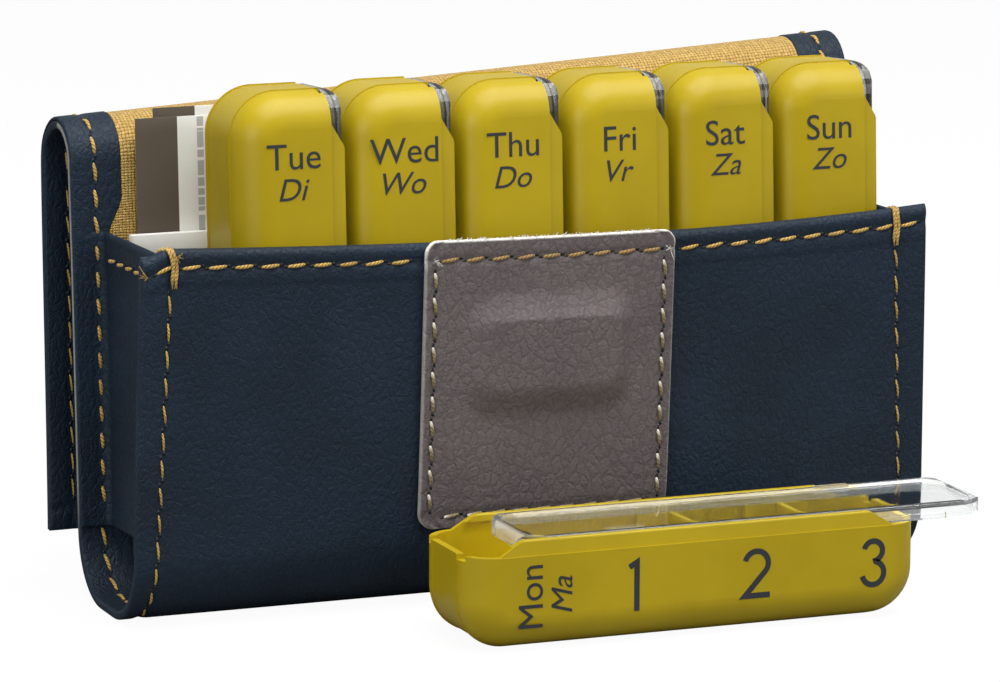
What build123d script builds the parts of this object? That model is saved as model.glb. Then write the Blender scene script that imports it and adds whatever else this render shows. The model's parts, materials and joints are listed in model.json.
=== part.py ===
from build123d import *
import os
from math import cos, radians, sin, sqrt, tan

# Weekly pill organizer: a leather wallet with a fold-over flap, seven pill trays with clear
# sliding lids, and the papers behind them. Six trays stand in the pocket, one lies in front.
# Frame: millimetres, +Z up, +X along the wallet to the right, the wallet's front towards -Y.
# The origin is on the resting surface, under the middle of the wallet's width.

# Pill tray, described lying down: length along X, depth along Y, height along Z
tray_length = 81.8
tray_depth = 23.7
tray_wall = 1.2
tray_floor = 1.2
tray_corner_radius = 8.0
tray_edge_radius = 6.0
end_rim_drop = 2.6
end_rim_length = 5.4
ramp_length = 4.2
ramp_rounding = 2.5
rail_step = 0.25
rail_inward_lean = 0.4
rail_rounding = 0.4
lip_reach = 0.8
lip_height = 1.2
dividers_from_label_end = (45.0, 65.0)
divider_thickness = 1.1
divider_clearance = 0.15
pad_length = 12.6
pad_reach = 1.0
pad_height = 5.0
notch_width = 2.4
notch_depth = 0.9
bead_width = 0.4
bead_height = 0.2

# Clear lid, which slides along the rails of its tray
lid_wall = 1.0
lid_corner_radius = 5.5
lid_end_radius = 2.0
lid_edge_radius = 0.6
lid_rise = 0.1
lid_lip = 3.0
lid_rim_width = 1.9
lid_panel_drop = 0.4
lid_side_clearance = 0.2
lid_rest_clearance = 0.1
flange_height = 1.0
latch_length = 6.5
latch_width = 1.2
latch_height = 0.2
latch_from_end = 15.0
loose_lid_open = 10.5

# Row of standing trays and the loose tray
days = ("mon", "tue", "wed", "thu", "fri", "sat", "sun")
loose_day = "mon"
row_spare = 1.0
row_end_gap = 0.95
tray_spread = 0.85
tray_lean = 3.0
seat_clearance = 0.48
loose_tray_x = 14.5
loose_tray_gap = 11.2

# Leather wallet
wallet_width = 145.0
leather = 1.5
lining = 0.5
front_height = 63.5
back_height = 88.5
front_bottom_radius = 12.5
back_bottom_radius = 7.0
front_gap = 0.5
binding_width = 9.0

# Papers behind the trays: height, and room to the left and right gussets
leaflet_height = 59.0
leaflet_thickness = 2.0
leaflet_margins = (3.0, 33.6)
card_height = 78.0
card_thickness = 0.3
card_margins = (5.0, 22.6)
rear_card_shift = 3.4
rear_card_extra_height = 0.8
paper_gap = 0.3

# Fold-over flap: a short fold strip, a part that closes over the trays and a front part
fold_width = 13.0
fold_turn = 160.0
flap_below_magnet = 5.8
flap_corner_radius = 3.0
flap_gap = 0.5
hinge_clearance = 0.1

# Side gussets
gusset_leather = 1.0
gusset_flange = 5.2
gusset_top = 63.0
gusset_bottom_front = 13.0
gusset_bottom_back = 12.0

# Closure tab with its magnet, and the keeper plate in the flap
tab_width = 45.6
tab_bottom = 13.9
tab_x = 1.6
tab_leather = 1.2
tab_above_rim = 0.6
tab_corner_radius = 3.0
magnet_size = (20.0, 2.4, 11.6)
magnet_height = 44.0
magnet_cover = 1.2
magnet_clearance = 0.1
bump_margin = 2.3
bump_rounding = 1.6
keeper_size = (20.0, 0.6, 10.0)

# Sizes and places that follow: closed up, the row of trays fills the width between the gussets
inside_right = wallet_width / 2 - gusset_flange - gusset_leather
row_step = (2 * inside_right - row_spare) / len(days)
tray_height = row_step - bead_height
tray_pitch = row_step + tray_spread
end_rim = tray_height - end_rim_drop
half_depth = tray_depth / 2
half_length = tray_length / 2
lid_base = end_rim + lid_rest_clearance
lid_top = tray_height + lid_rise
lid_half_width = half_depth - tray_wall - lip_reach - lid_side_clearance
flange_half_width = half_depth - tray_wall - lid_side_clearance
standing_days = [day for day in days if day != loose_day]

leaflet_face = half_depth + paper_gap
card_face = leaflet_face + leaflet_thickness + paper_gap
rear_card_face = card_face + card_thickness + paper_gap
lining_face = rear_card_face + card_thickness + paper_gap
back_inside = lining_face + lining
back_outside = back_inside + leather
front_inside = -(half_depth + front_gap)
front_outside = front_inside - leather
panel = leather + lining
half_panel = panel / 2
half_width = wallet_width / 2
lean_height = front_bottom_radius
lean_angle = radians(tray_lean)
lean_placement = Pos(0, 0, lean_height) * Rot(X=-tray_lean) * Pos(0, 0, -lean_height)

# A tray sinks until its rounded end meets the curve at the bottom of the front panel
curve_room = front_bottom_radius - leather - tray_edge_radius - seat_clearance
curve_offset = half_depth - tray_edge_radius + front_inside + front_bottom_radius - leather
tray_seat = front_bottom_radius - tray_edge_radius - sqrt(max(curve_room**2 - curve_offset**2, 0))


def leaned(across, along):
    """Y and Z of a point given across and along the leaning back panel."""
    rise = along - lean_height
    y = across * cos(lean_angle) + rise * sin(lean_angle)
    return y, lean_height + rise * cos(lean_angle) - across * sin(lean_angle)


fold_y, fold_z = leaned(lining_face + half_panel, back_height)
flap_y = fold_y + fold_width
bump_rise = magnet_size[1] + magnet_cover
closed_over_y = fold_y + fold_width * cos(radians(fold_turn))
closed_over_z = fold_z + fold_width * sin(radians(fold_turn))
closed_front_y = front_outside - bump_rise - flap_gap - half_panel
flap_over_length = closed_over_y - closed_front_y
flap_front_length = closed_over_z - magnet_height + flap_below_magnet
flap_bend_z = fold_z - flap_over_length


def prism_x(points, low, high):
    """A closed outline of (y, z) points, carried along X from low to high."""
    face = make_face(Polyline([(low, y, z) for y, z in points], close=True))
    return extrude(face, high - low, dir=(1, 0, 0))


def prism_y(points, reach):
    """A closed outline of (x, z) points, carried along Y to both sides."""
    face = make_face(Polyline([(x, 0, z) for x, z in points], close=True))
    return extrude(face, reach, both=True)


def plate(x_span, y_span, z_span):
    """A box between its low and high limits."""
    spans = (x_span, y_span, z_span)
    sizes = [high - low for low, high in spans]
    middle = [(high + low) / 2 for low, high in spans]
    return Pos(*middle) * Box(*sizes)


def both_sides(low, high):
    """A span on the +Y side and its mirror image on the -Y side."""
    return (low, high), (-high, -low)


def boat_outline(inset, height):
    """Side outline of a tray with rounded bottom corners, drawn in from the outside by an inset."""
    length = tray_length - 2 * inset
    outline = Plane.XZ * Pos(0, inset + height / 2) * Rectangle(length, height)
    return fillet(outline.vertices().sort_by(Axis.Z)[:2], tray_corner_radius - inset)


def boat(inset, height):
    """A solid boat shape, rounded below and at both ends, drawn in by an inset."""
    block = extrude(boat_outline(inset, height), half_depth - inset, both=True)
    rim = [
        line
        for face in block.faces().filter_by(Axis.Y)
        for line in face.edges()
        if line.center().Z < inset + height - bead_height
    ]
    return fillet(rim, tray_edge_radius - inset)


def seam_beads():
    """Two fine beads where the side faces meet the bottom and the ends."""
    ring = boat_outline(-bead_height, end_rim + bead_height) - boat_outline(tray_wall / 2, tray_height)
    bead = extrude(ring, bead_width / 2, both=True)
    offset = half_depth - tray_edge_radius
    return [Pos(0, side * offset, 0) * bead for side in (-1, 1)]


def rails():
    """Two rails with an inward lip over the groove that holds the lid, ramped down at both ends."""
    base = end_rim - tray_wall / 2
    outer = half_depth - rail_step
    inner = half_depth - tray_wall
    section = [
        (outer, base),
        (outer - rail_inward_lean, tray_height),
        (inner - lip_reach, tray_height),
        (inner - lip_reach, tray_height - lip_height),
        (inner, tray_height - lip_height),
        (inner, base),
    ]
    reach = half_length - end_rim_length
    rail = prism_x(section, -reach, reach)
    top_edges = rail.edges().filter_by(Axis.X).group_by(Axis.Z)[-1]
    rail = fillet(top_edges, rail_rounding)
    ramp_foot = reach - ramp_length
    ramps = [(-reach, end_rim), (-ramp_foot, tray_height), (ramp_foot, tray_height), (reach, end_rim)]
    side_view = prism_y([(-reach, base), *ramps, (reach, base)], tray_depth)
    ramp_tops = side_view.edges().filter_by(Axis.Y).group_by(Axis.Z)[-1]
    side_view = fillet(ramp_tops, ramp_rounding)
    rail = rail & side_view
    return [rail, mirror(rail, Plane.XZ)]


def dividers():
    """Cross walls between the compartments, with pads along the sides that carry the lid."""
    top = end_rim - divider_clearance
    pieces = []
    for distance in dividers_from_label_end:
        x = distance - half_length
        wall_x = (x - divider_thickness / 2, x + divider_thickness / 2)
        pieces.append(plate(wall_x, (-half_depth, half_depth), (0, top)))
        pad_x = (x - pad_length / 2, x + pad_length / 2)
        for y_span in both_sides(half_depth - tray_wall - pad_reach, half_depth):
            pieces.append(plate(pad_x, y_span, (top - pad_height, top)))
    return pieces


def rim_notches():
    """Small notches in the end rims, beside the rounded corners."""
    low = half_depth - tray_edge_radius
    x_spans = both_sides(half_length - 2 * tray_wall, half_length + tray_wall)
    y_spans = both_sides(low, low + notch_width)
    return [plate(xs, ys, (end_rim - notch_depth, tray_height)) for xs in x_spans for ys in y_spans]


def make_tray():
    """One pill tray, lying down: its base centre at the origin, its label end towards -X."""
    outside = boat(0, end_rim)
    inside = boat(tray_wall, tray_height)
    core = boat(tray_wall / 2, end_rim)
    walls = outside + seam_beads() - Pos(0, 0, tray_floor - tray_wall) * inside
    cross_walls = [piece & core for piece in dividers()]
    tray = walls + cross_walls + rails() - rim_notches()
    return Pos(0, 0, bead_height) * tray.solid()


def lid_form(inset, base, top):
    """A slab that is rounded in plan and rounded down at both ends, drawn in by an inset."""
    length = tray_length + lid_lip - 2 * inset
    width = 2 * (lid_half_width - inset)
    plan = Pos(lid_lip / 2, 0, base) * RectangleRounded(length, width, lid_corner_radius - inset)
    plan = extrude(plan, top - base)
    side = Plane.XZ * Pos(lid_lip / 2, (base + top) / 2) * Rectangle(length, top - base)
    side = fillet(side.vertices().sort_by(Axis.Z)[2:], lid_end_radius - inset)
    return plan & extrude(side, width, both=True)


def lid_section():
    """The lid's cross-section carried along it, with its two long top edges rounded."""
    section = Plane.YZ * Pos(0, (lid_base + lid_top) / 2) * Rectangle(2 * lid_half_width, lid_top - lid_base)
    section = fillet(section.vertices().sort_by(Axis.Z)[2:], lid_edge_radius)
    return extrude(section, tray_length, both=True)


def lid_panel():
    """The shallow sunk panel of a lid's top, which leaves a raised rim with a bevelled inner edge."""
    length = tray_length + lid_lip - 2 * lid_rim_width
    width = 2 * (lid_half_width - lid_rim_width)
    plan = RectangleRounded(length, width, lid_corner_radius - lid_rim_width)
    return Pos(lid_lip / 2, 0, lid_top - lid_panel_drop) * extrude(plan, 2 * lid_panel_drop, taper=-45)


def make_lid():
    """One clear lid in its closed place over a lying tray, with a lip past the tray's far end."""
    shell = lid_form(0, lid_base, lid_top) & lid_section()
    hollow = lid_form(lid_wall, lid_base - lid_wall, lid_top - lid_wall) + lid_panel()
    reach = half_length - lid_corner_radius
    flanges = [
        plate((-reach, reach), y_span, (lid_base, lid_base + flange_height))
        for y_span in both_sides(lid_half_width - lid_wall, flange_half_width)
    ]
    latch_x = half_length - latch_from_end - latch_length / 2
    latch_y = lid_half_width - lid_edge_radius - latch_width / 2
    latch = Box(latch_length, latch_width, 2 * latch_height)
    latches = [Pos(turn * latch_x, turn * latch_y, lid_top) * latch for turn in (-1, 1)]
    return Pos(0, 0, bead_height) * (shell - hollow + latches + flanges).solid()


def tray_place(day):
    """The loose tray lies flat; the others stand label end up, lid to the right, leaning back."""
    if day == loose_day:
        return Pos(loose_tray_x, front_outside - loose_tray_gap - half_depth, 0)
    trays_to_the_right = len(standing_days) - 1 - standing_days.index(day)
    base_x = inside_right - row_end_gap - row_step - trays_to_the_right * tray_pitch
    return lean_placement * Pos(base_x, 0, tray_seat + half_length) * Rot(Y=90)


def lid_place(day):
    """The lid's own shift along its tray: only the loose tray is partly open."""
    return tray_place(day) * Pos(loose_lid_open if day == loose_day else 0, 0, 0)


def strip_path(inset):
    """Front panel, rounded bottom and leaning back panel as one line, inside the outer face by an inset."""
    floor_back = leaned(back_outside - inset, 0)
    floor_y = floor_back[0] + (inset - floor_back[1]) * tan(lean_angle)
    points = [
        (0, front_outside + inset, front_height),
        (0, front_outside + inset, inset),
        (0, floor_y, inset),
        (0, *leaned(back_outside - inset, back_height)),
    ]
    radii = (front_bottom_radius - inset, back_bottom_radius - inset)
    return FilletPolyline(points, radius=radii), points[0], points[-1]


def make_outer_cover():
    """Outer leather of front, bottom and back as one bent strip, with a round edge at the fold."""
    outer, outer_rim, outer_fold = strip_path(0)
    inner, inner_rim, inner_fold = strip_path(leather)
    ends = [Line(outer_rim, inner_rim), Line(outer_fold, inner_fold)]
    section = make_face(outer.edges() + inner.edges() + ends)
    strip = extrude(section, half_width, both=True)
    round_edge = Pos(0, fold_y, fold_z) * Rot(Y=90) * Cylinder(half_panel, wallet_width)
    x_span = (-half_width, half_width)
    leather_y = (back_inside, back_outside)
    leather_side = lean_placement * plate(x_span, leather_y, (front_height, back_height + panel))
    return (strip + (round_edge & leather_side)).solid()


def back_layer(x_span):
    """A piece of the thin layer on the inside of the leaning back panel."""
    z_span = (back_bottom_radius + leather, back_height - half_panel)
    return lean_placement * plate(x_span, (lining_face, back_inside), z_span)


middle_x = (binding_width - half_width, half_width - binding_width)
left_x = (-half_width, binding_width - half_width)
right_x = (half_width - binding_width, half_width)
full_x = (-half_width, half_width)
leather_y = (-half_panel, half_panel - lining)
lining_y = (half_panel - lining, half_panel)
fold_start = half_panel + hinge_clearance


def hanging(x_span, y_span, length):
    """A flat strip that hangs from just below its hinge line, which is at the origin."""
    return plate(x_span, y_span, (-length, -fold_start))


def folding_segment(length):
    """Leather, lining and edge bindings of a flap segment whose lower edge is round for the next fold."""
    round_edge = Pos(0, 0, -length) * Rot(Y=90) * Cylinder(half_panel, wallet_width)
    leather_side = plate(full_x, leather_y, (-length - panel, -length + leather))
    cover = hanging(full_x, leather_y, length) + (round_edge & leather_side)
    layer_length = length - half_panel
    inside = hanging(middle_x, lining_y, layer_length)
    bindings = [hanging(x_span, lining_y, layer_length) for x_span in (left_x, right_x)]
    return cover, inside, bindings


def end_segment(length):
    """The front part of the flap: rounded corners, a binding round three sides and a keeper plate."""

    def rounded_layer(y_span):
        layer = hanging(full_x, y_span, length)
        return fillet(layer.edges().filter_by(Axis.Y).group_by(Axis.Z)[0], flap_corner_radius)

    inside = hanging(middle_x, lining_y, length - binding_width)
    binding = rounded_layer(lining_y) - inside
    width, thickness, height = keeper_size
    place = Pos(tab_x, half_panel - lining - thickness / 2, flap_below_magnet - length)
    recess = place * Box(width + 2 * magnet_clearance, thickness, height + 2 * magnet_clearance)
    return rounded_layer(leather_y) - recess, inside, binding, place * Box(width, thickness, height)


def make_gusset():
    """The left gusset: a web with a flange sewn behind the front panel and one on the back panel."""
    web_x = (gusset_flange - half_width, gusset_flange - half_width + gusset_leather)
    flange_x = (-half_width, web_x[1])
    web_points = [
        (front_inside, gusset_bottom_front),
        leaned(lining_face, gusset_bottom_back),
        leaned(lining_face, gusset_top),
        (front_inside, gusset_top),
    ]
    web = prism_x(web_points, *web_x)
    front_y = (front_inside, front_inside + gusset_leather)
    front = plate(flange_x, front_y, (gusset_bottom_front, gusset_top))
    back_y = (lining_face - gusset_leather, lining_face)
    back = lean_placement * plate(flange_x, back_y, (gusset_bottom_back, gusset_top))
    return (web + front + back).solid()


def make_tab():
    """The sewn closure tab with a raised bump over its magnet, and the magnet itself."""
    tab_y = (front_outside - tab_leather, front_outside)
    x_span = (tab_x - tab_width / 2, tab_x + tab_width / 2)
    tab = plate(x_span, tab_y, (tab_bottom, front_height + tab_above_rim))
    tab = fillet(tab.edges().filter_by(Axis.Y).group_by(Axis.Z)[0], tab_corner_radius)
    width, thickness, height = magnet_size
    bump = Box(width + 2 * bump_margin, bump_rise, height + 2 * bump_margin)
    bump = fillet(bump.edges().filter_by(Axis.Y), bump_margin)
    bump = fillet(bump.faces().sort_by(Axis.Y)[0].edges(), bump_rounding)
    tab = tab + Pos(tab_x, front_outside - bump_rise / 2, magnet_height) * bump
    place = Pos(tab_x, front_outside - thickness / 2, magnet_height)
    pocket = place * Box(width + 2 * magnet_clearance, thickness, height + 2 * magnet_clearance)
    return (tab - pocket).solid(), place * Box(width, thickness, height)


def paper_base(back_face):
    """How low a sheet can stand, measured along the lean, where the bottom curves up to the back panel."""
    radius = back_bottom_radius - leather
    centre_across = back_inside - radius
    centre_rise = back_bottom_radius - lean_height + centre_across * sin(lean_angle)
    centre_along = lean_height + centre_rise / cos(lean_angle)
    into_curve = max(back_face - centre_across, 0)
    return centre_along - sqrt(radius**2 - into_curve**2) + seat_clearance


def standing_sheet(margins, height, thickness, face):
    """A sheet of paper standing in the pocket, its front face at a given place across the lean."""
    x_span = (margins[0] - inside_right, inside_right - margins[1])
    base = paper_base(face + thickness)
    return lean_placement * plate(x_span, (face, face + thickness), (base, base + height))


def make_papers():
    """The leaflet and the two cards behind it, the rear one shifted to the right and a little taller."""
    leaflet = standing_sheet(leaflet_margins, leaflet_height, leaflet_thickness, leaflet_face)
    front_card = standing_sheet(card_margins, card_height, card_thickness, card_face)
    rear_margins = (card_margins[0] + rear_card_shift, card_margins[1] - rear_card_shift)
    rear_height = card_height + rear_card_extra_height
    rear_card = standing_sheet(rear_margins, rear_height, card_thickness, rear_card_face)
    return leaflet, front_card, rear_card


def make_nodes():
    """Every node of the organizer by name, each a shape or a list of separate shapes."""
    left_binding = back_layer(left_x)
    gusset = make_gusset()
    nodes = {
        "outer_cover": make_outer_cover(),
        "back_lining": back_layer(middle_x),
        "back_bindings": [left_binding, mirror(left_binding, Plane.YZ)],
        "gusset_left": gusset,
        "gusset_right": mirror(gusset, Plane.YZ),
    }
    nodes["closure_tab"], nodes["tab_magnet"] = make_tab()
    nodes["leaflet"], nodes["front_card"], nodes["rear_card"] = make_papers()

    fold_place = Pos(0, fold_y, fold_z) * Rot(X=90)
    over_place = Pos(0, flap_y, fold_z)
    segments = (("fold", fold_place, fold_width), ("flap_over", over_place, flap_over_length))
    for name, place, length in segments:
        cover, inside, bindings = folding_segment(length)
        nodes[name + "_cover"] = place * cover
        nodes[name + "_lining"] = place * inside
        nodes[name + "_bindings"] = [place * binding for binding in bindings]
    cover, inside, binding, keeper = end_segment(flap_front_length)
    front_place = Pos(0, flap_y, flap_bend_z)
    nodes["flap_front_cover"] = front_place * cover
    nodes["flap_front_lining"] = front_place * inside
    nodes["flap_front_binding"] = front_place * binding
    nodes["flap_keeper_plate"] = front_place * keeper

    tray, lid = make_tray(), make_lid()
    for day in days:
        nodes["tray_" + day] = tray_place(day) * tray
        nodes["lid_" + day] = lid_place(day) * lid
    return nodes


def main():
    os.makedirs("parts", exist_ok=True)
    for name, shape in make_nodes().items():
        node = Compound(children=shape) if isinstance(shape, list) else shape
        export_step(node, f"parts/{name}.step")


if __name__ == "__main__":
    main()
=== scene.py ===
import json
import math

import bpy
import numpy as np
from mathutils import Matrix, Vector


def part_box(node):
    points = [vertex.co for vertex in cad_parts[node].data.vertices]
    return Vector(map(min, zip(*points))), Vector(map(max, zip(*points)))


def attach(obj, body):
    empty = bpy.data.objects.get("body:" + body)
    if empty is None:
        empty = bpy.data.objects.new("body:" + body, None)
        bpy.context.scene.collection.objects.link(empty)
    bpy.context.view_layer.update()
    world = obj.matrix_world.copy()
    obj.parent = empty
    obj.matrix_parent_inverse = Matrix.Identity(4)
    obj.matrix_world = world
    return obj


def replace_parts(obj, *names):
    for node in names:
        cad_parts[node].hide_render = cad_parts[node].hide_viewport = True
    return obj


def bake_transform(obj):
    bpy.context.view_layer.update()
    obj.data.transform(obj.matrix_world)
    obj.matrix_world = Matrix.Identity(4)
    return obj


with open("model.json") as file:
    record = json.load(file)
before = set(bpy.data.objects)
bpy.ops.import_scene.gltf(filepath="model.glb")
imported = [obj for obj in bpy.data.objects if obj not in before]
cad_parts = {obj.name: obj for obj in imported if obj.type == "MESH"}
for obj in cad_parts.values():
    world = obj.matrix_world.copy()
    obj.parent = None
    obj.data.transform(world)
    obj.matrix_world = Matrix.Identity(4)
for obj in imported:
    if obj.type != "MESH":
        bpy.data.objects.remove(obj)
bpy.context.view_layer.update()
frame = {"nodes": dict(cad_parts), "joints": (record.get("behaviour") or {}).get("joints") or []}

mm = 0.001  # the pieces are worked out in millimetres
scene = bpy.context.scene
joints = {joint["name"]: joint for joint in frame["joints"]}
days = ["mon", "tue", "wed", "thu", "fri", "sat", "sun"]
looseDay = "mon"


def nodeBox(name):  # lowest and highest corner of a CAD node, in millimetres
    return np.array([list(corner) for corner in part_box(name)]) / mm


def hinge(name):  # y and z of a hinge line
    return np.array(joints[name]["pos_m"][1:]) / mm


def smooth(low, high, value):  # eased step: 0 before low, 1 after high
    t = np.clip((value - low) / (high - low), 0, 1)
    return t * t * (3 - 2 * t)


def bell(centre, width, value):  # 1 at the centre, fading as a Gaussian
    return np.exp(-((value - centre) / width) ** 2)


def unit(vectors):
    return vectors / np.linalg.norm(vectors, axis=-1, keepdims=True)


def travelled(line):  # length along a line of points, up to each of them
    return np.concatenate([[0], np.cumsum(np.linalg.norm(np.diff(line, axis=0), axis=1))])


def readAlong(lengths, values, at):  # each column of the values, read at the given lengths
    return np.stack([np.interp(at, lengths, column) for column in values.T], -1)


foldHinge, turnHinge, bendHinge = hinge("flap_fold"), hinge("flap_turn"), hinge("flap_bend")
leanSin, leanCos = joints["tray_tue_lift"]["axis"][1:]
coverBox = nodeBox("outer_cover")
halfWidth = coverBox[1][0]
frontFace = coverBox[0][1]
print("frame read: wallet", round(2 * halfWidth, 1), "mm wide")


# Meshes: a shape is a dictionary of points, quads, triangles, UVs in millimetres and a raw-edge mask
def gridQuads(corners):
    return np.stack([corners[:-1, :-1], corners[:-1, 1:], corners[1:, 1:], corners[1:, :-1]], -1).reshape(-1, 4)


def shape(points, quads, tris=None, uv=None, raw=None):
    points = np.asarray(points, float).reshape(-1, 3)
    return {
        "points": points,
        "quads": np.asarray(quads, int).reshape(-1, 4),
        "tris": np.asarray([] if tris is None else tris, int).reshape(-1, 3),
        "uv": np.zeros((len(points), 2)) if uv is None else np.asarray(uv, float).reshape(-1, 2),
        "raw": np.zeros(len(points)) if raw is None else np.asarray(raw, float).ravel(),
    }


def joined(shapes):  # several shapes as one, their point numbers shifted
    starts = np.cumsum([0] + [len(each["points"]) for each in shapes])
    return {
        "points": np.concatenate([each["points"] for each in shapes]),
        "quads": np.concatenate([each["quads"] + start for each, start in zip(shapes, starts)]),
        "tris": np.concatenate([each["tris"] + start for each, start in zip(shapes, starts)]),
        "uv": np.concatenate([each["uv"] for each in shapes]),
        "raw": np.concatenate([each["raw"] for each in shapes]),
    }


def outward(made):  # a closed shape of negative volume has its faces turned round
    p, q, t = made["points"], made["quads"], made["tris"]
    corners = np.concatenate([q[:, [0, 1, 2]], q[:, [0, 2, 3]], t])
    a, b, c = p[corners[:, 0]], p[corners[:, 1]], p[corners[:, 2]]
    if np.einsum("ij,ij->", a - p.mean(0), np.cross(b - p.mean(0), c - p.mean(0))) < 0:
        made["quads"], made["tris"] = q[:, ::-1], t[:, ::-1]
    return made


sharpAngle = 60  # leather edges that turn by more degrees than this stay sharp


def piece(name, made, finish, crease=None):
    # Puts a shape into a mesh object with its UV map, raw-edge attribute and material
    used = np.unique(np.concatenate([made["quads"].ravel(), made["tris"].ravel()]))
    renumber = np.zeros(len(made["points"]), int)
    renumber[used] = np.arange(len(used))
    quads, tris = renumber[made["quads"]], renumber[made["tris"]]
    mesh = bpy.data.meshes.new(name)
    mesh.vertices.add(len(used))
    mesh.vertices.foreach_set("co", (made["points"][used] * mm).astype(np.float32).ravel())
    loops = np.concatenate([quads.ravel(), tris.ravel()])
    starts = np.concatenate([np.arange(len(quads)) * 4, len(quads) * 4 + np.arange(len(tris)) * 3])
    mesh.loops.add(len(loops))
    mesh.loops.foreach_set("vertex_index", loops.astype(np.int32))
    mesh.polygons.add(len(starts))
    mesh.polygons.foreach_set("loop_start", starts.astype(np.int32))
    mesh.polygons.foreach_set("use_smooth", np.ones(len(starts), bool))
    mesh.update(calc_edges=True)
    layer = mesh.uv_layers.new(name="surfaceMm")
    layer.data.foreach_set("uv", made["uv"][used][loops].astype(np.float32).ravel())
    mask = mesh.attributes.new("rawEdge", "FLOAT", "POINT")
    mask.data.foreach_set("value", made["raw"][used].astype(np.float32))
    mesh.validate()
    if crease:
        mesh.set_sharp_from_angle(angle=math.radians(crease))
    mesh.materials.append(finish)
    made = bpy.data.objects.new(name, mesh)
    scene.collection.objects.link(made)
    return made


def closedSheet(top, bottom, uv, raw=None, squareStart=False, squareEnd=False):
    # Two grids that share their border points; a square end keeps its thickness and gets a strip of faces
    rows, columns = top.shape[:2]
    upper = np.arange(rows * columns).reshape(rows, columns)
    lower = upper + rows * columns
    lower[:, [0, -1]] = upper[:, [0, -1]]
    strips, ends = [], []
    for square, row, turned in ((squareStart, 0, False), (squareEnd, -1, True)):
        if not square:
            lower[row] = upper[row]
            continue
        strip = np.stack([lower[row, 1:-2], lower[row, 2:-1], upper[row, 2:-1], upper[row, 1:-2]], -1)
        end = np.array([[upper[row, 0], lower[row, 1], upper[row, 1]],
                        [upper[row, -1], upper[row, -2], lower[row, -2]]])
        strips.append(strip[:, ::-1] if turned else strip)
        ends.append(end[:, ::-1] if turned else end)
    quads = np.concatenate([gridQuads(upper), gridQuads(lower)[:, ::-1]] + strips)
    tris = np.concatenate(ends) if ends else None
    raw = np.zeros((rows, columns)) if raw is None else raw
    return outward(shape(np.concatenate([top.reshape(-1, 3), bottom.reshape(-1, 3)]), quads, tris,
                         np.concatenate([uv.reshape(-1, 2)] * 2), np.concatenate([raw.ravel()] * 2)))


def spaced(low, high, step, near=(), fine=0.35, reach=2.4, rounding=0.5):
    # Values from low to high a step apart, closer near the given places, and closing up on both ends
    ends = rounding * np.array([0, 0.04, 0.15, 0.35, 0.65, 1.0])
    lines = [np.linspace(low, high, max(round((high - low) / step), 2) + 1), low + ends, high - ends]
    lines += [np.arange(place - reach, place + reach, fine) for place in near]
    values = np.unique(np.round(np.concatenate(lines), 4))
    values = values[(values >= low) & (values <= high)]
    inner = (values > low + rounding) & (values < high - rounding)
    crowded = np.concatenate([[False], np.diff(values) < 0.45 * fine]) & inner
    return values[~crowded]


def roundEdge(distance, radius):  # share of the thickness left at a distance from a free edge: a quarter circle
    return np.sqrt(np.clip(1 - (1 - np.clip(distance / radius, 0, 1)) ** 2, 0, 1))


def roundedPath(corners, radii, spacing=0.2):
    # Straight runs joined by arcs; an arc's legs are its radius times the tangent of half the turn
    corners = np.asarray(corners, float)
    heading = unit(np.diff(corners, axis=0))
    pieces, start = [], corners[0]
    for corner, before, after, radius in zip(corners[1:-1], heading[:-1], heading[1:], radii):
        turn = math.atan2(before[0] * after[1] - before[1] * after[0], before @ after)
        leg = radius * math.tan(abs(turn) / 2)
        spoke = math.copysign(radius, turn) * np.array([before[1], -before[0]])
        angle = np.linspace(0, turn, max(int(abs(turn) * radius / spacing), 8))[:, None]
        turned = np.cos(angle) * spoke + np.sin(angle) * np.array([-spoke[1], spoke[0]])
        stop = corner - before * leg
        count = max(int(np.linalg.norm(stop - start) / spacing), 2)
        pieces += [np.linspace(start, stop, count)[:-1], (stop - spoke + turned)[:-1]]
        start = corner + after * leg
    pieces.append(np.linspace(start, corners[-1], max(int(np.linalg.norm(corners[-1] - start) / spacing), 2)))
    line = np.concatenate(pieces)
    length = travelled(line)
    heading = unit(np.gradient(line, length, axis=0))
    return {"line": line, "length": length, "normal": np.stack([-heading[:, 1], heading[:, 0]], -1)}


def onPath(path, s):  # point and left-hand normal at the lengths s
    return readAlong(path["length"], path["line"], s), readAlong(path["length"], path["normal"], s)


# Finishes
def hexColour(word):  # an sRGB colour word as the linear colour that a shader socket holds
    parts = np.array([int(word[k:k + 2], 16) for k in (0, 2, 4)]) / 255
    linear = np.where(parts <= 0.04045, parts / 12.92, ((parts + 0.055) / 1.055) ** 2.4)
    return (*(float(part) for part in linear), 1.0)


def feed(tree, socket, value):
    if isinstance(value, bpy.types.NodeSocket):
        tree.links.new(value, socket)
    else:
        socket.default_value = value


def node(tree, kind, feeds=None, **settings):
    made = tree.nodes.new("ShaderNode" + kind)
    for key, value in settings.items():
        setattr(made, key, value)
    for key, value in (feeds or {}).items():
        feed(tree, made.inputs[key], value)
    return made


def sums(tree, operation, *values):
    made = node(tree, "Math", operation=operation)
    for socket, value in zip(made.inputs, values):
        feed(tree, socket, value)
    return made.outputs[0]


def ramp(tree, value, low, high, start=0.0, end=1.0):  # eased change from start to end between low and high
    span = {"Value": value, "From Min": low, "From Max": high, "To Min": start, "To Max": end}
    return node(tree, "MapRange", span, interpolation_type="SMOOTHSTEP").outputs["Result"]


def mixed(tree, factor, first, second):
    made = node(tree, "Mix", data_type="RGBA")
    feed(tree, made.inputs["Factor"], factor)
    feed(tree, made.inputs[6], first)  # the colour sockets of a Mix node
    feed(tree, made.inputs[7], second)
    return made.outputs[2]


def twoTone(tree, value, low, high, first, second):  # one colour word eased into another between low and high
    return mixed(tree, ramp(tree, value, low, high), hexColour(first), hexColour(second))


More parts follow.
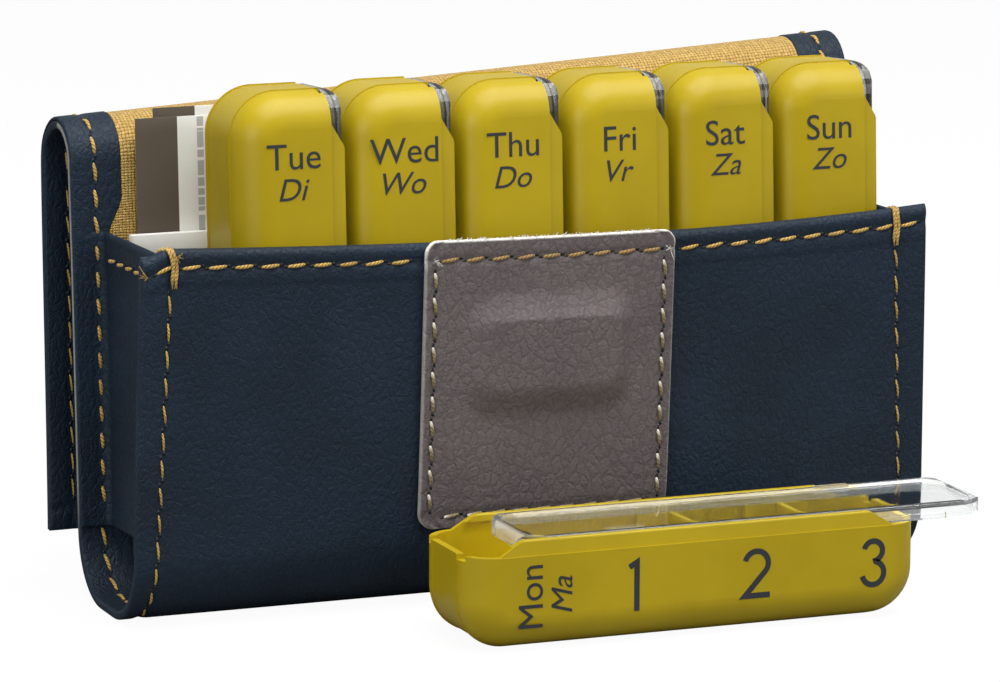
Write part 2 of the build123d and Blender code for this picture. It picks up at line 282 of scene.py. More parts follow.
def nodeGroup(name, inputs, outputs):
    tree = bpy.data.node_groups.new(name, "ShaderNodeTree")
    for label, kind in inputs:
        tree.interface.new_socket(label, in_out="INPUT", socket_type="NodeSocket" + kind)
    for label, kind in outputs:
        tree.interface.new_socket(label, in_out="OUTPUT", socket_type="NodeSocket" + kind)
    return tree, tree.nodes.new("NodeGroupInput").outputs, tree.nodes.new("NodeGroupOutput").inputs


def placed(tree, group, feeds):  # a node group in a material, with its own values
    made = node(tree, "Group", node_tree=group)
    for key, value in feeds.items():
        feed(tree, made.inputs[key], value)
    return made.outputs


grainNet = {"bendScale": 0.7, "bendReach": 0.95, "slant": 0.75, "stretch": (1.0, 0.9, 0.62), "fineness": 2.3,
            "coarseEdge": 0.26, "fineEdge": 0.36, "fineShare": 0.36, "crease": (0.01, 0.09), "toneScale": 0.06}


def leatherGrainGroup():
    # Pebbles: distance to the cell borders of a bent and slanted Voronoi net, coarse cells over fine ones
    tree, given, result = nodeGroup("leatherGrain", [("Vector", "Vector"), ("Cell", "Float")],
                                    [("Height", "Float"), ("Crease", "Float"), ("Tone", "Float")])
    place = given["Vector"]
    bend = node(tree, "TexNoise", {"Vector": place, "Scale": grainNet["bendScale"], "Detail": 2.0})
    shift = node(tree, "VectorMath", {0: bend.outputs["Color"], 1: (0.5, 0.5, 0.5)}, operation="SUBTRACT")
    shift = node(tree, "VectorMath", {0: shift.outputs[0], "Scale": grainNet["bendReach"]}, operation="SCALE")
    bent = node(tree, "VectorMath", {0: place, 1: shift.outputs[0]}, operation="ADD").outputs[0]
    slant = node(tree, "Mapping", {"Vector": bent, "Rotation": (0.0, grainNet["slant"], 0.0),
                                   "Scale": grainNet["stretch"]}).outputs[0]
    coarseScale = sums(tree, "DIVIDE", 1.0, given["Cell"])
    fineScale = sums(tree, "MULTIPLY", coarseScale, grainNet["fineness"])
    coarse = node(tree, "TexVoronoi", {"Vector": slant, "Scale": coarseScale}, feature="DISTANCE_TO_EDGE")
    fine = node(tree, "TexVoronoi", {"Vector": bent, "Scale": fineScale}, feature="DISTANCE_TO_EDGE")
    coarseDome = ramp(tree, coarse.outputs["Distance"], 0.0, grainNet["coarseEdge"])
    fineDome = ramp(tree, fine.outputs["Distance"], 0.0, grainNet["fineEdge"])
    coarsePart = sums(tree, "MULTIPLY", coarseDome, 1 - grainNet["fineShare"])
    tone = node(tree, "TexNoise", {"Vector": place, "Scale": grainNet["toneScale"], "Detail": 4.0})
    feed(tree, result["Height"], sums(tree, "MULTIPLY_ADD", fineDome, grainNet["fineShare"], coarsePart))
    feed(tree, result["Crease"], ramp(tree, coarse.outputs["Distance"], *grainNet["crease"], 1.0, 0.0))
    feed(tree, result["Tone"], tone.outputs["Fac"])
    return tree


weaveNet = {"wanderScale": 0.35, "wander": 0.5, "round": 0.6, "dip": 0.45, "gap": (0.2, 0.6), "slubScale": 1.1}


def clothWeaveGroup():
    # Plain weave of round threads: in one square of the chequer the warp lies on top, in the next the weft
    tree, given, result = nodeGroup("clothWeave", [("Vector", "Vector"), ("Pitch", "Float")],
                                    [("Height", "Float"), ("Gap", "Float"), ("Slub", "Float")])
    place = given["Vector"]
    wander = node(tree, "TexNoise", {"Vector": place, "Scale": weaveNet["wanderScale"], "Detail": 3.0})
    shift = node(tree, "VectorMath", {0: wander.outputs["Color"], "Scale": weaveNet["wander"]}, operation="SCALE")
    bent = node(tree, "VectorMath", {0: place, 1: shift.outputs[0]}, operation="ADD")
    part = node(tree, "SeparateXYZ", {"Vector": bent.outputs[0]})
    across = sums(tree, "DIVIDE", part.outputs["X"], given["Pitch"])
    along = sums(tree, "DIVIDE", part.outputs["Y"], given["Pitch"])

    def roundness(count):  # a half wave over each thread
        return sums(tree, "ABSOLUTE", sums(tree, "SINE", sums(tree, "MULTIPLY", count, math.pi)))

    def thread(own, crossing):  # a round thread that dips where it passes under the other one
        dipped = sums(tree, "MULTIPLY_ADD", crossing, weaveNet["dip"], 1 - weaveNet["dip"])
        return sums(tree, "MULTIPLY", sums(tree, "POWER", own, weaveNet["round"]), dipped)

    square = sums(tree, "ADD", sums(tree, "FLOOR", across), sums(tree, "FLOOR", along))
    chequer = sums(tree, "FLOORED_MODULO", square, 2.0)
    warp = thread(roundness(across), roundness(along))
    weft = thread(roundness(along), roundness(across))
    chosen = node(tree, "Mix", {0: chequer, 2: warp, 3: weft}, data_type="FLOAT").outputs[0]
    slub = node(tree, "TexNoise", {"Vector": place, "Scale": weaveNet["slubScale"], "Detail": 3.0})
    feed(tree, result["Height"], chosen)
    feed(tree, result["Gap"], ramp(tree, chosen, *weaveNet["gap"], 1.0, 0.0))
    feed(tree, result["Slub"], slub.outputs["Fac"])
    return tree


def surfaceMottleGroup():
    # Slow patches and fine specks of noise, for plastics, paper, thread and metal
    tree, given, result = nodeGroup("surfaceMottle",
                                    [("Vector", "Vector"), ("Patch", "Float"), ("Speck", "Float")],
                                    [("Patches", "Float"), ("Specks", "Float")])
    for label, size, detail in (("Patches", "Patch", 3.0), ("Specks", "Speck", 2.0)):
        scale = sums(tree, "DIVIDE", 1.0, given[size])
        noise = node(tree, "TexNoise", {"Vector": given["Vector"], "Scale": scale, "Detail": detail})
        feed(tree, result[label], noise.outputs["Fac"])
    return tree


leatherGrain, clothWeave, surfaceMottle = leatherGrainGroup(), clothWeaveGroup(), surfaceMottleGroup()


def newFinish(name):
    finish = bpy.data.materials.new(name)
    finish.use_nodes = True
    tree = finish.node_tree
    tree.nodes.clear()
    shader = node(tree, "BsdfPrincipled")
    tree.links.new(shader.outputs[0], node(tree, "OutputMaterial").inputs["Surface"])
    return finish, tree, shader.inputs


def objectMm(tree):  # Object coordinates in millimetres
    return node(tree, "VectorMath", {0: node(tree, "TexCoord").outputs["Object"], "Scale": 1 / mm},
                operation="SCALE").outputs[0]


def uvMm(tree):
    return node(tree, "UVMap", uv_map="surfaceMm").outputs["UV"]


def bumped(tree, height, depth):  # depth in millimetres
    return node(tree, "Bump", {"Height": height, "Distance": depth * mm}).outputs["Normal"]


def mottled(tree, patch, speck):  # sizes of the patches and specks in millimetres
    return placed(tree, surfaceMottle, {"Vector": objectMm(tree), "Patch": patch, "Speck": speck})


def leatherFinish(name, look):
    finish, tree, shader = newFinish(name)
    grain = placed(tree, leatherGrain, {"Vector": objectMm(tree), "Cell": look["cell"]})
    toned = twoTone(tree, grain["Tone"], 0.3, 0.7, look["dark"], look["light"])
    inCrease = sums(tree, "MULTIPLY", grain["Crease"], look["creaseShade"])
    creased = mixed(tree, inCrease, toned, hexColour(look["crease"]))
    rawMask = node(tree, "Attribute", attribute_name="rawEdge").outputs["Fac"]
    feed(tree, shader["Base Color"], mixed(tree, rawMask, creased, hexColour(look["rawEdge"])))
    feed(tree, shader["Roughness"], ramp(tree, grain["Height"], 0.0, 1.0, look["roughLow"], look["rough"]))
    feed(tree, shader["Normal"], bumped(tree, grain["Height"], look["relief"]))
    shader["Specular IOR Level"].default_value = look["gloss"]
    return finish


navyLook = {"dark": "15222F", "light": "1B2A39", "crease": "0E1620", "creaseShade": 0.25, "rawEdge": "A9ABA8",
            "cell": 1.25, "relief": 0.1, "rough": 0.46, "roughLow": 0.6, "gloss": 0.22}
taupeLook = {"dark": "625A5B", "light": "6B6362", "crease": "4A4140", "creaseShade": 0.34, "rawEdge": "F4F1EA",
             "cell": 1.5, "relief": 0.125, "rough": 0.48, "roughLow": 0.62, "gloss": 0.22}
navyLeather = leatherFinish("navyLeather", navyLook)
taupeLeather = leatherFinish("taupeLeather", taupeLook)

liningLook = {"warp": "D2AE62", "weft": "B8944C", "gap": "5E451E", "gapShade": 0.75, "pitch": 0.62,
              "relief": 0.2, "sheen": 0.15, "gloss": 0.25}


def liningFinish():
    finish, tree, shader = newFinish("goldLining")
    weave = placed(tree, clothWeave, {"Vector": uvMm(tree), "Pitch": liningLook["pitch"]})
    thread = twoTone(tree, weave["Slub"], 0.35, 0.68, liningLook["weft"], liningLook["warp"])
    inGap = sums(tree, "MULTIPLY", weave["Gap"], liningLook["gapShade"])
    feed(tree, shader["Base Color"], mixed(tree, inGap, thread, hexColour(liningLook["gap"])))
    feed(tree, shader["Roughness"], ramp(tree, weave["Slub"], 0.2, 0.8, 0.7, 0.88))
    feed(tree, shader["Normal"], bumped(tree, weave["Height"], liningLook["relief"]))
    shader["Sheen Weight"].default_value = liningLook["sheen"]
    shader["Specular IOR Level"].default_value = liningLook["gloss"]
    return finish


threadLook = {"twist": 1.5, "relief": 0.07, "patch": 3.0, "speck": 0.15, "shade": 0.45, "tint": (0.5, 1.4),
              "sheen": 0.2}


def threadFinish(name, pale, deep, start=None):
    # Twisted thread: slanting stripes from the UV, which runs round the stitch and along it; start paints an end
    # pale
    finish, tree, shader = newFinish(name)
    part = node(tree, "SeparateXYZ", {"Vector": uvMm(tree)})
    turns = sums(tree, "MULTIPLY_ADD", part.outputs["Y"], threadLook["twist"], part.outputs["X"])
    strand = sums(tree, "ABSOLUTE", sums(tree, "SINE", sums(tree, "MULTIPLY", turns, math.pi)))
    fuzz = mottled(tree, threadLook["patch"], threadLook["speck"])
    # The deep colour in the grooves between the strands is partly painted shade, where the strands shade each
    # other
    twisted = twoTone(tree, strand, 0.1, 0.7, deep, pale)
    # The pale start of each stitch is partly a second thread's knot, partly a painted highlight where the stitch
    # rises
    if start:
        atStart = ramp(tree, part.outputs["Y"], *threadLook["tint"], 1.0, 0.0)
        twisted = mixed(tree, atStart, twisted, hexColour(start))
    shaded = ramp(tree, fuzz["Patches"], 0.45, 0.75, 0.0, threadLook["shade"])
    feed(tree, shader["Base Color"], mixed(tree, shaded, twisted, hexColour(deep)))
    feed(tree, shader["Roughness"], ramp(tree, fuzz["Specks"], 0.3, 0.7, 0.5, 0.7))
    feed(tree, shader["Normal"], bumped(tree, strand, threadLook["relief"]))
    shader["Sheen Weight"].default_value = threadLook["sheen"]
    return finish


goldLining = liningFinish()
goldThread = threadFinish("goldThread", "D2AD54", "6F4F22")
brownThread = threadFinish("brownThread", "AC8A4B", "5A4120")
# A darker copy of the gold thread: painted shade for the flap's inner rows, which lie in shadow
shadedGoldThread = threadFinish("shadedGoldThread", "75623E", "3D301D")
rawFibre = threadFinish("rawFibre", "F1EDE4", "CFC8BC")
paleThread = threadFinish("paleThread", "93835F", "6B5C3E", "E4DED0")

trayLook = {"dark": "B0980A", "light": "B8A00E", "rough": (0.34, 0.44), "patch": 14.0, "speck": 0.5,
            "relief": 0.012, "gloss": 0.32}


def trayFinish():
    finish, tree, shader = newFinish("trayPlastic")
    mottle = mottled(tree, trayLook["patch"], trayLook["speck"])
    toned = twoTone(tree, mottle["Patches"], 0.3, 0.7, trayLook["dark"], trayLook["light"])
    feed(tree, shader["Base Color"], toned)
    feed(tree, shader["Roughness"], ramp(tree, mottle["Specks"], 0.3, 0.7, *trayLook["rough"]))
    feed(tree, shader["Normal"], bumped(tree, mottle["Specks"], trayLook["relief"]))
    shader["Specular IOR Level"].default_value = trayLook["gloss"]
    return finish


lidLook = {"dark": "F4F7F6", "light": "FAFBFA", "milk": "F2F4F6", "shadow": "F6F7F7", "refraction": 1.45,
           "rim": (0.8, 0.98), "rough": (0.02, 0.06)}


def lidFinish(name, panelAxis, rimTintAndShade, milkShare):
    # Clear plastic, a little milky on the rim, where the surface turns away from the panel's axis; the rim takes
    # the rim colour, which on the standing lids is painted shade for the dark surroundings seen in the rim;
    # shadow rays pass straight through, so that light reaches the tray under it
    finish, tree, shader = newFinish(name)
    mottle = mottled(tree, 9.0, 0.8)
    normal = node(tree, "NewGeometry").outputs["True Normal"]
    facing = node(tree, "VectorMath", {0: normal, 1: panelAxis}, operation="DOT_PRODUCT").outputs["Value"]
    onRim = ramp(tree, sums(tree, "ABSOLUTE", facing), *lidLook["rim"], 1.0, 0.0)
    clear = twoTone(tree, mottle["Patches"], 0.3, 0.7, lidLook["dark"], lidLook["light"])
    feed(tree, shader["Base Color"], mixed(tree, onRim, clear, hexColour(rimTintAndShade)))
    feed(tree, shader["Roughness"], ramp(tree, mottle["Patches"], 0.3, 0.7, *lidLook["rough"]))
    shader["Transmission Weight"].default_value = 1.0
    shader["IOR"].default_value = lidLook["refraction"]
    milk = node(tree, "BsdfDiffuse", {"Color": hexColour(lidLook["milk"])}).outputs[0]
    through = node(tree, "BsdfTransparent", {"Color": hexColour(lidLook["shadow"])}).outputs[0]
    milky = node(tree, "MixShader", {0: sums(tree, "MULTIPLY", onRim, milkShare),
                                     1: shader["Base Color"].node.outputs[0], 2: milk}).outputs[0]
    shadowRay = node(tree, "LightPath").outputs["Is Shadow Ray"]
    lit = node(tree, "MixShader", {0: shadowRay, 1: milky, 2: through})
    ending = next(each for each in tree.nodes if each.type == "OUTPUT_MATERIAL")
    tree.links.new(lit.outputs[0], ending.inputs["Surface"])
    return finish


def steelFinish():
    finish, tree, shader = newFinish("plainSteel")
    mottle = mottled(tree, 4.0, 0.2)
    feed(tree, shader["Base Color"], mixed(tree, mottle["Patches"], hexColour("8D8E90"), hexColour("B4B5B7")))
    feed(tree, shader["Roughness"], ramp(tree, mottle["Specks"], 0.3, 0.7, 0.25, 0.4))
    shader["Metallic"].default_value = 1.0
    return finish


paperLook = {"white": "F2F2EE", "shade": "E6E6E0", "stripe": "574D42", "stripeWidth": 7.5, "print": "8A8C90",
             "printShade": 0.7, "lineShare": 0.32, "wordScale": 1.1, "wordCut": 0.46, "relief": 0.02}


def paperFinish(name, stripeAt, linesFrom, lineStep):
    # White paper; a dark stripe from stripeAt on and upright rows of grey dashes, all by the UV in millimetres
    finish, tree, shader = newFinish(name)
    part = node(tree, "SeparateXYZ", {"Vector": uvMm(tree)})
    x, y = part.outputs["X"], part.outputs["Y"]
    mottle = mottled(tree, 20.0, 0.3)
    base = twoTone(tree, mottle["Patches"], 0.3, 0.7, paperLook["white"], paperLook["shade"])
    beyond = sums(tree, "SUBTRACT", x, linesFrom)
    line = sums(tree, "FLOOR", sums(tree, "DIVIDE", beyond, lineStep))
    place = node(tree, "CombineXYZ", {"X": y, "Y": line}).outputs[0]
    wordNoise = node(tree, "TexNoise", {"Vector": place, "Scale": paperLook["wordScale"], "Detail": 2.0})
    words = sums(tree, "GREATER_THAN", wordNoise.outputs["Fac"], paperLook["wordCut"])
    intoLine = sums(tree, "FLOORED_MODULO", beyond, lineStep)
    inLine = sums(tree, "LESS_THAN", intoLine, paperLook["lineShare"] * lineStep)
    inPrint = sums(tree, "GREATER_THAN", beyond, 0.0)
    printed = sums(tree, "MULTIPLY", sums(tree, "MULTIPLY", inLine, words), inPrint)
    inked = sums(tree, "MULTIPLY", printed, paperLook["printShade"])
    dashed = mixed(tree, inked, base, hexColour(paperLook["print"]))
    inStripe = sums(tree, "MULTIPLY", sums(tree, "GREATER_THAN", x, stripeAt),
                    sums(tree, "LESS_THAN", x, stripeAt + paperLook["stripeWidth"]))
    feed(tree, shader["Base Color"], mixed(tree, inStripe, dashed, hexColour(paperLook["stripe"])))
    feed(tree, shader["Roughness"], ramp(tree, mottle["Specks"], 0.3, 0.7, 0.6, 0.75))
    feed(tree, shader["Normal"], bumped(tree, mottle["Specks"], paperLook["relief"]))
    return finish


def inkAndShadeFinish(name, pale, deep):
    finish, tree, shader = newFinish(name)
    mottle = mottled(tree, 1.5, 0.2)
    feed(tree, shader["Base Color"], mixed(tree, mottle["Patches"], hexColour(deep), hexColour(pale)))
    feed(tree, shader["Roughness"], ramp(tree, mottle["Specks"], 0.3, 0.7, 0.45, 0.6))
    return finish


trayPlastic, plainSteel = trayFinish(), steelFinish()
lyingLid = lidFinish("lyingLid", (0.0, 0.0, 1.0), "F6F8F8", 0.12)
# The standing lids' grey rim colour is painted shade for the dark surroundings seen in and through their rims
shadedStandingLid = lidFinish("shadedStandingLid", (1.0, 0.0, 0.0), "999C9E", 0.03)
leafletPaper = paperFinish("leafletPaper", 500.0, 60.0, 2.4)
stripedPaper = paperFinish("stripedPaper", 0.0, 11.0, 3.6)
labelInk = inkAndShadeFinish("labelInk", "2A2E33", "212529")
# The needle holes' near-black is painted shade in the pits
holeShade = inkAndShadeFinish("holeShade", "10151C", "0A0E13")

finishOf = {"tab_magnet": plainSteel, "flap_keeper_plate": plainSteel}  # CAD solids that are shown as they are
for day in days:
    finishOf["tray_" + day] = trayPlastic
    finishOf["lid_" + day] = lyingLid if day == looseDay else shadedStandingLid
for name, finish in finishOf.items():
    frame["nodes"][name].data.materials.clear()
    frame["nodes"][name].data.materials.append(finish)
print("finishes ready")

# The wallet's strip: depth runs from the panel's mid-line, positive towards the lining side
wallet = {
    "skin": 1.0, "back": 0.5, "frontRadius": 11.5, "backRadius": 11.0, "foldRadius": 6.4, "endRaise": 1.2,
    "rimHeight": 63.5, "rimDip": 1.3, "rimDipAt": 22.0, "rimLeft": 0.00029, "rimRight": 0.00072,
    "rimReach": 28.0, "cornerDrop": 1.8, "cornerFrom": 65.5, "cornerSpan": 5.0,
    "swell": 0.35, "swellWidth": 2.2, "swellHeight": 66.0, "swellEnd": 70.0,
    "droopLeft": -7.5, "droopRight": 0.8, "droopReach": 38.0, "droopFlat": 4.0,
    "bulge": 2.0, "bulgeFrom": -40.0, "bulgeRise": 14.0, "bulgeEnd": 85.0, "bulgeLoss": 0.7,
    "drawIn": 1.8, "drawFrom": 66.5, "drawDown": 62.0,
    "hemDepth": 6.4, "hemEase": 1.2, "hemOut": 0.15, "hemIn": 1.0,
    "rimSeam": 3.0, "flapSeam": 4.0, "borderSeam": 68.2, "seamLeft": (-65.4, -69.0), "seamRight": (66.4, 68.2),
    "seamSlant": 62.0, "seamStraight": 80.0, "seamWidth": 0.8, "seamPress": 0.28, "seamPressIn": 0.12,
    "rimRound": 1.4, "endRound": 1.2, "sideRound": 0.5, "rawWidth": 0.15, "rawBefore": 4.0, "rawAfter": 10.0,
    "rowStep": 1.1, "columnStep": 1.7, "columnsNear": (-68.2, 68.2, -66.2, 66.8),
}
baseMid = wallet["skin"]
frontMid = frontFace + wallet["skin"]
footBack = foldHinge[0] - (foldHinge[1] - baseMid) * leanSin / leanCos
flapEnd = nodeBox("flap_front_cover")[0][2] + wallet["endRaise"]
stripPath = roundedPath(
    [(frontMid, wallet["rimHeight"]), (frontMid, baseMid), (footBack, baseMid), foldHinge, turnHinge,
     (turnHinge[0], flapEnd)],
    [wallet["frontRadius"], wallet["backRadius"], wallet["foldRadius"], wallet["foldRadius"]])
pathLength = stripPath["length"]


def lengthAt(index, value, after):  # length, beyond after, at which coordinate index first passes the value
    beyond = pathLength >= after
    line = stripPath["line"][beyond][:, index]
    first = np.argmax((line[:-1] - value) * (line[1:] - value) <= 0)
    return pathLength[beyond][first]


stripEnd = pathLength[-1]
baseStart = lengthAt(1, baseMid + 0.01, 0)
backStart = lengthAt(1, baseMid + wallet["backRadius"], baseStart + 5)
foldMid = lengthAt(0, (foldHinge[0] + turnHinge[0]) / 2, backStart)
overMid = lengthAt(1, (turnHinge[1] + bendHinge[1]) / 2, foldMid)


def rimShift(x):  # the rim sags between its ends and drops at the left corner
    curve = np.where(x < wallet["rimDipAt"], wallet["rimLeft"], wallet["rimRight"])
    sag = curve * (x - wallet["rimDipAt"]) ** 2 - wallet["rimDip"]
    cornerEnd = wallet["cornerFrom"] + wallet["cornerSpan"]
    return sag - wallet["cornerDrop"] * smooth(wallet["cornerFrom"], cornerEnd, -x)


def drawnIn(x, down):  # how far the front's left edge is drawn in by the gusset, most at the rim
    atRim = np.clip(1 - down / wallet["drawDown"], 0, 1)
    return wallet["drawIn"] * atRim * smooth(wallet["drawFrom"], halfWidth, -x)


def frontSwell(x, down):  # how far the front stands out, most in the middle of the panel
    across = np.cos(np.pi * x / (wallet["swellWidth"] * halfWidth)) ** 2
    return wallet["swell"] * across * np.sin(np.pi * np.clip(down / wallet["swellHeight"], 0, 1)) ** 2


def onStrip(s, x, depth):
    # Path point plus depth along its normal, plus the drape: rim sag, front swell, a fold that droops to one
    # side and a flap whose left end stands out behind it
    s, x, depth = np.broadcast_arrays(np.asarray(s, float), np.asarray(x, float), np.asarray(depth, float))
    point, normal = onPath(stripPath, s)
    y = point[..., 0] + normal[..., 0] * depth
    z = point[..., 1] + normal[..., 1] * depth
    past = s - foldMid
    rise, fall = smooth(0, wallet["bulgeRise"], past), smooth(wallet["bulgeRise"], wallet["bulgeEnd"], past)
    outwards = smooth(wallet["bulgeFrom"], -halfWidth, x) * rise * (1 - wallet["bulgeLoss"] * fall)
    y = y - frontSwell(x, s) * (s < wallet["swellEnd"]) + wallet["bulge"] * outwards
    slope = wallet["droopRight"] - wallet["droopLeft"]
    droop = wallet["droopLeft"] + slope * (x + halfWidth) / (2 * halfWidth)
    atFold = smooth(wallet["droopReach"], wallet["droopFlat"], np.abs(s - foldMid))
    z = z + rimShift(x) * (1 - smooth(0, wallet["rimReach"], s)) + droop * atFold
    return np.stack([x, y, z], -1)


def stripNormal(s, side):
    normal = onPath(stripPath, s)[1]
    return side * np.stack([np.zeros_like(s), normal[..., 0], normal[..., 1]], -1)


def seamX(s, side):  # the border seam: slanting on the front, straight from the base on
    top, low = wallet["seamLeft"] if side < 0 else wallet["seamRight"]
    front = top + (low - top) * np.clip(s / wallet["seamSlant"], 0, 1)
    onBase = smooth(wallet["seamSlant"], wallet["seamStraight"], s)
    return front + (side * wallet["borderSeam"] - front) * onBase


def borderSeams(s, x):  # 1 on the two border seams
    return np.maximum(bell(seamX(s, -1), wallet["seamWidth"], x), bell(seamX(s, 1), wallet["seamWidth"], x))


def leatherStrip(start, stop, squareStart, squareEnd):
    # A length of the strip: hemmed and rounded at the rim, rounded at the flap's end, cut square in between
    atRim, atEnd = not squareStart, not squareEnd
    near = [wallet["rimSeam"], wallet["hemDepth"]] if atRim else []
    s = spaced(start, stop, wallet["rowStep"], near + ([stop - wallet["flapSeam"]] if atEnd else []))
    if atRim:
        s = np.unique(np.concatenate([s, start + wallet["rimRound"] * np.array([0.02, 0.08, 0.2, 0.4, 0.7])]))
    x = spaced(-halfWidth, halfWidth, wallet["columnStep"], wallet["columnsNear"])
    sGrid, xGrid = np.meshgrid(s, x, indexing="ij")
    edge = halfWidth - np.abs(xGrid)
    seam, thick = borderSeams(sGrid, xGrid), roundEdge(edge, wallet["sideRound"])
    hem, raw = 0 * sGrid, 0 * sGrid
    if atRim:
        hem = 1 - smooth(wallet["hemDepth"] - wallet["hemEase"], wallet["hemDepth"], sGrid)
        seam = np.maximum(seam, bell(wallet["rimSeam"], wallet["seamWidth"], sGrid))
        thick = thick * roundEdge(sGrid - start, wallet["rimRound"])
        onBack = smooth(backStart - wallet["rawBefore"], backStart + wallet["rawAfter"], sGrid)
        raw = (1 - smooth(0.0, wallet["rawWidth"], edge)) * onBack
    if atEnd:
        seam = np.maximum(seam, bell(stop - wallet["flapSeam"], wallet["seamWidth"], sGrid))
        thick = thick * roundEdge(stop - sGrid, wallet["endRound"])
    low = -wallet["skin"] - wallet["hemOut"] * hem + wallet["seamPress"] * seam
    high = wallet["back"] + wallet["hemIn"] * hem - wallet["seamPressIn"] * seam
    middle, half = (low + high) / 2, (high - low) / 2 * thick
    uv = np.stack([xGrid, sGrid], -1)
    xGrid = xGrid + drawnIn(xGrid, sGrid)
    return closedSheet(onStrip(sGrid, xGrid, middle + half), onStrip(sGrid, xGrid, middle - half), uv, raw,
                       squareStart, squareEnd)


def bendAt(made):
    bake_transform(made)
    return made


leatherParts = (
    ("walletLeather", 0, foldMid, False, True, "fold", ("outer_cover",)),
    ("foldLeather", foldMid, overMid, True, True, "turn", ("fold_cover",)),
    ("flapLeather", overMid, stripEnd, True, False, "bend", ("flap_over_cover", "flap_front_cover")),
)
for name, start, stop, squareStart, squareEnd, bend, coverNodes in leatherParts:
    made = leatherStrip(start, stop, squareStart, squareEnd)
    made = piece(name, made, navyLeather, sharpAngle)
    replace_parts(bendAt(made), *coverNodes)
print("leather strip", round(stripEnd, 1), "mm long, flat base from", round(baseStart, 1))

lining = {
    "start": 13.5, "low": 0.5, "high": 0.92, "round": 0.3, "tuck": 0.6, "seamPress": 0.2,
    "border": 9.0, "narrow": 2.4, "narrowAt": 63.0, "wideAt": 73.0,
    "bindingHigh": 1.12, "bindingRound": 0.4, "inset": 0.1, "endLap": 0.3, "endInset": 0.02,
    "broad": 40.0, "broadSteps": (3.0, 0.6), "slimSteps": (7.0, 4.0),  # column step and rounding in hundredths
}
liningStart = lengthAt(1, lining["start"], backStart)
narrowAt, wideAt = lengthAt(1, lining["narrowAt"], backStart), lengthAt(1, lining["wideAt"], backStart)


def panelStrip(start, stop, left, right, depths, squareStart, squareEnd, rounding):
    # A lining or binding: between two side lines and two lengths, at the given depths
    s = spaced(start, stop, wallet["rowStep"], rounding=rounding)
    step, ends = lining["broadSteps"] if right(0) - left(0) > lining["broad"] else lining["slimSteps"]
    share = spaced(0, 100, step, rounding=ends) / 100
    sGrid, tGrid = np.meshgrid(s, share, indexing="ij")
    xGrid = left(sGrid) + (right(sGrid) - left(sGrid)) * tGrid
    edge = np.minimum(xGrid - left(sGrid), right(sGrid) - xGrid)
    thick = roundEdge(edge, rounding)
    if not squareStart:
        thick = thick * roundEdge(sGrid - start, rounding)
    if not squareEnd:
        thick = thick * roundEdge(stop - sGrid, rounding)
    middle = (depths[0] + depths[1]) / 2
    half = (depths[1] - depths[0]) / 2 * thick
    pressed = lining["seamPress"] * borderSeams(sGrid, xGrid) * thick
    return closedSheet(onStrip(sGrid, xGrid, middle + half - pressed), onStrip(sGrid, xGrid, middle - half),
                       np.stack([xGrid, sGrid], -1), None, squareStart, squareEnd)


def upright(x):  # a side line that keeps its x
    return lambda s: x + 0 * s


def bindingRight(s):  # the border's inner line curves outwards below the fold
    return halfWidth - lining["border"] + lining["narrow"] * (1 - smooth(narrowAt, wideAt, s))


def bindingLeft(s):
    return -bindingRight(s)


def liningRight(s):  # the lining runs on under the border
    return bindingRight(s) + lining["tuck"]


def liningLeft(s):
    return -liningRight(s)


liningDepths, bindingDepths = (lining["low"], lining["high"]), (lining["low"], lining["bindingHigh"])
linedParts = (
    ("back", liningStart, foldMid, False, True, "fold", ("back_lining",), ("back_bindings",)),
    ("fold", foldMid, overMid, True, True, "turn", ("fold_lining",), ("fold_bindings",)),
    ("flap", overMid, stripEnd, True, False, "bend", ("flap_over_lining", "flap_front_lining"),
     ("flap_over_bindings", "flap_front_binding")),
)
for name, start, stop, squareStart, squareEnd, bend, liningNodes, bindingNodes in linedParts:
    liningStop = stop if squareEnd else stop - lining["border"] + lining["tuck"]
    made = panelStrip(start, liningStop, liningLeft, liningRight, liningDepths, squareStart, squareEnd,
                      lining["round"])
    made = piece(name + "Lining", made, goldLining, sharpAngle)
    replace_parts(bendAt(made), *liningNodes)
    outer, inner = halfWidth - lining["inset"], halfWidth - lining["border"] + lining["endLap"]
    sides = ((upright(-outer), bindingLeft), (bindingRight, upright(outer)))
    borders = [panelStrip(start, stop, left, right, bindingDepths, squareStart, squareEnd,
                          lining["bindingRound"]) for left, right in sides]
    if not squareEnd:
        borders.append(panelStrip(stop - lining["border"], stop - lining["endInset"], upright(-inner),
                                  upright(inner), bindingDepths, False, False, lining["bindingRound"]))
    made = piece(name + "Bindings", joined(borders), navyLeather, sharpAngle)
    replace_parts(bendAt(made), *bindingNodes)
print("linings and bindings sewn in")

# Gussets: a plan path of front flange, web and back flange, carried up from a slanting bottom to a hemmed top
gusset = {
    "leather": 1.0, "web": 66.8, "top": 63.2, "rise": -0.7, "bottomFront": 13.0, "bottomBack": 12.0,
    "round": 1.6, "backDepth": 0.82, "edgeInset": 0.2, "sag": 0.9, "hem": 5.4, "hemEase": 0.9, "hemSwell": 0.35,
    "seam": 4.3, "seamWidth": 0.7, "seamPress": 0.12, "flangeRound": 0.4, "topRound": 0.9, "footRound": 0.45,
    "pareFrom": 8.5, "pareTo": 6.0, "pared": 0.5,  # the back flange is pared thin
    "columnStep": 0.9, "turnAt": 6.5, "turnReach": 2.5, "rows": 44,
    "topRows": (0.0, 0.002, 0.006, 0.012, 0.02, 0.035, 0.05, 0.06, 0.068, 0.075, 0.082, 0.09, 0.1, 0.115),
}
gussetFront = frontMid + wallet["back"] + gusset["leather"] / 2


def backY(z, depth):  # y of the leaning back at a height, at a depth from its mid-line
    return foldHinge[0] - (foldHinge[1] - z) * leanSin / leanCos - depth / leanCos


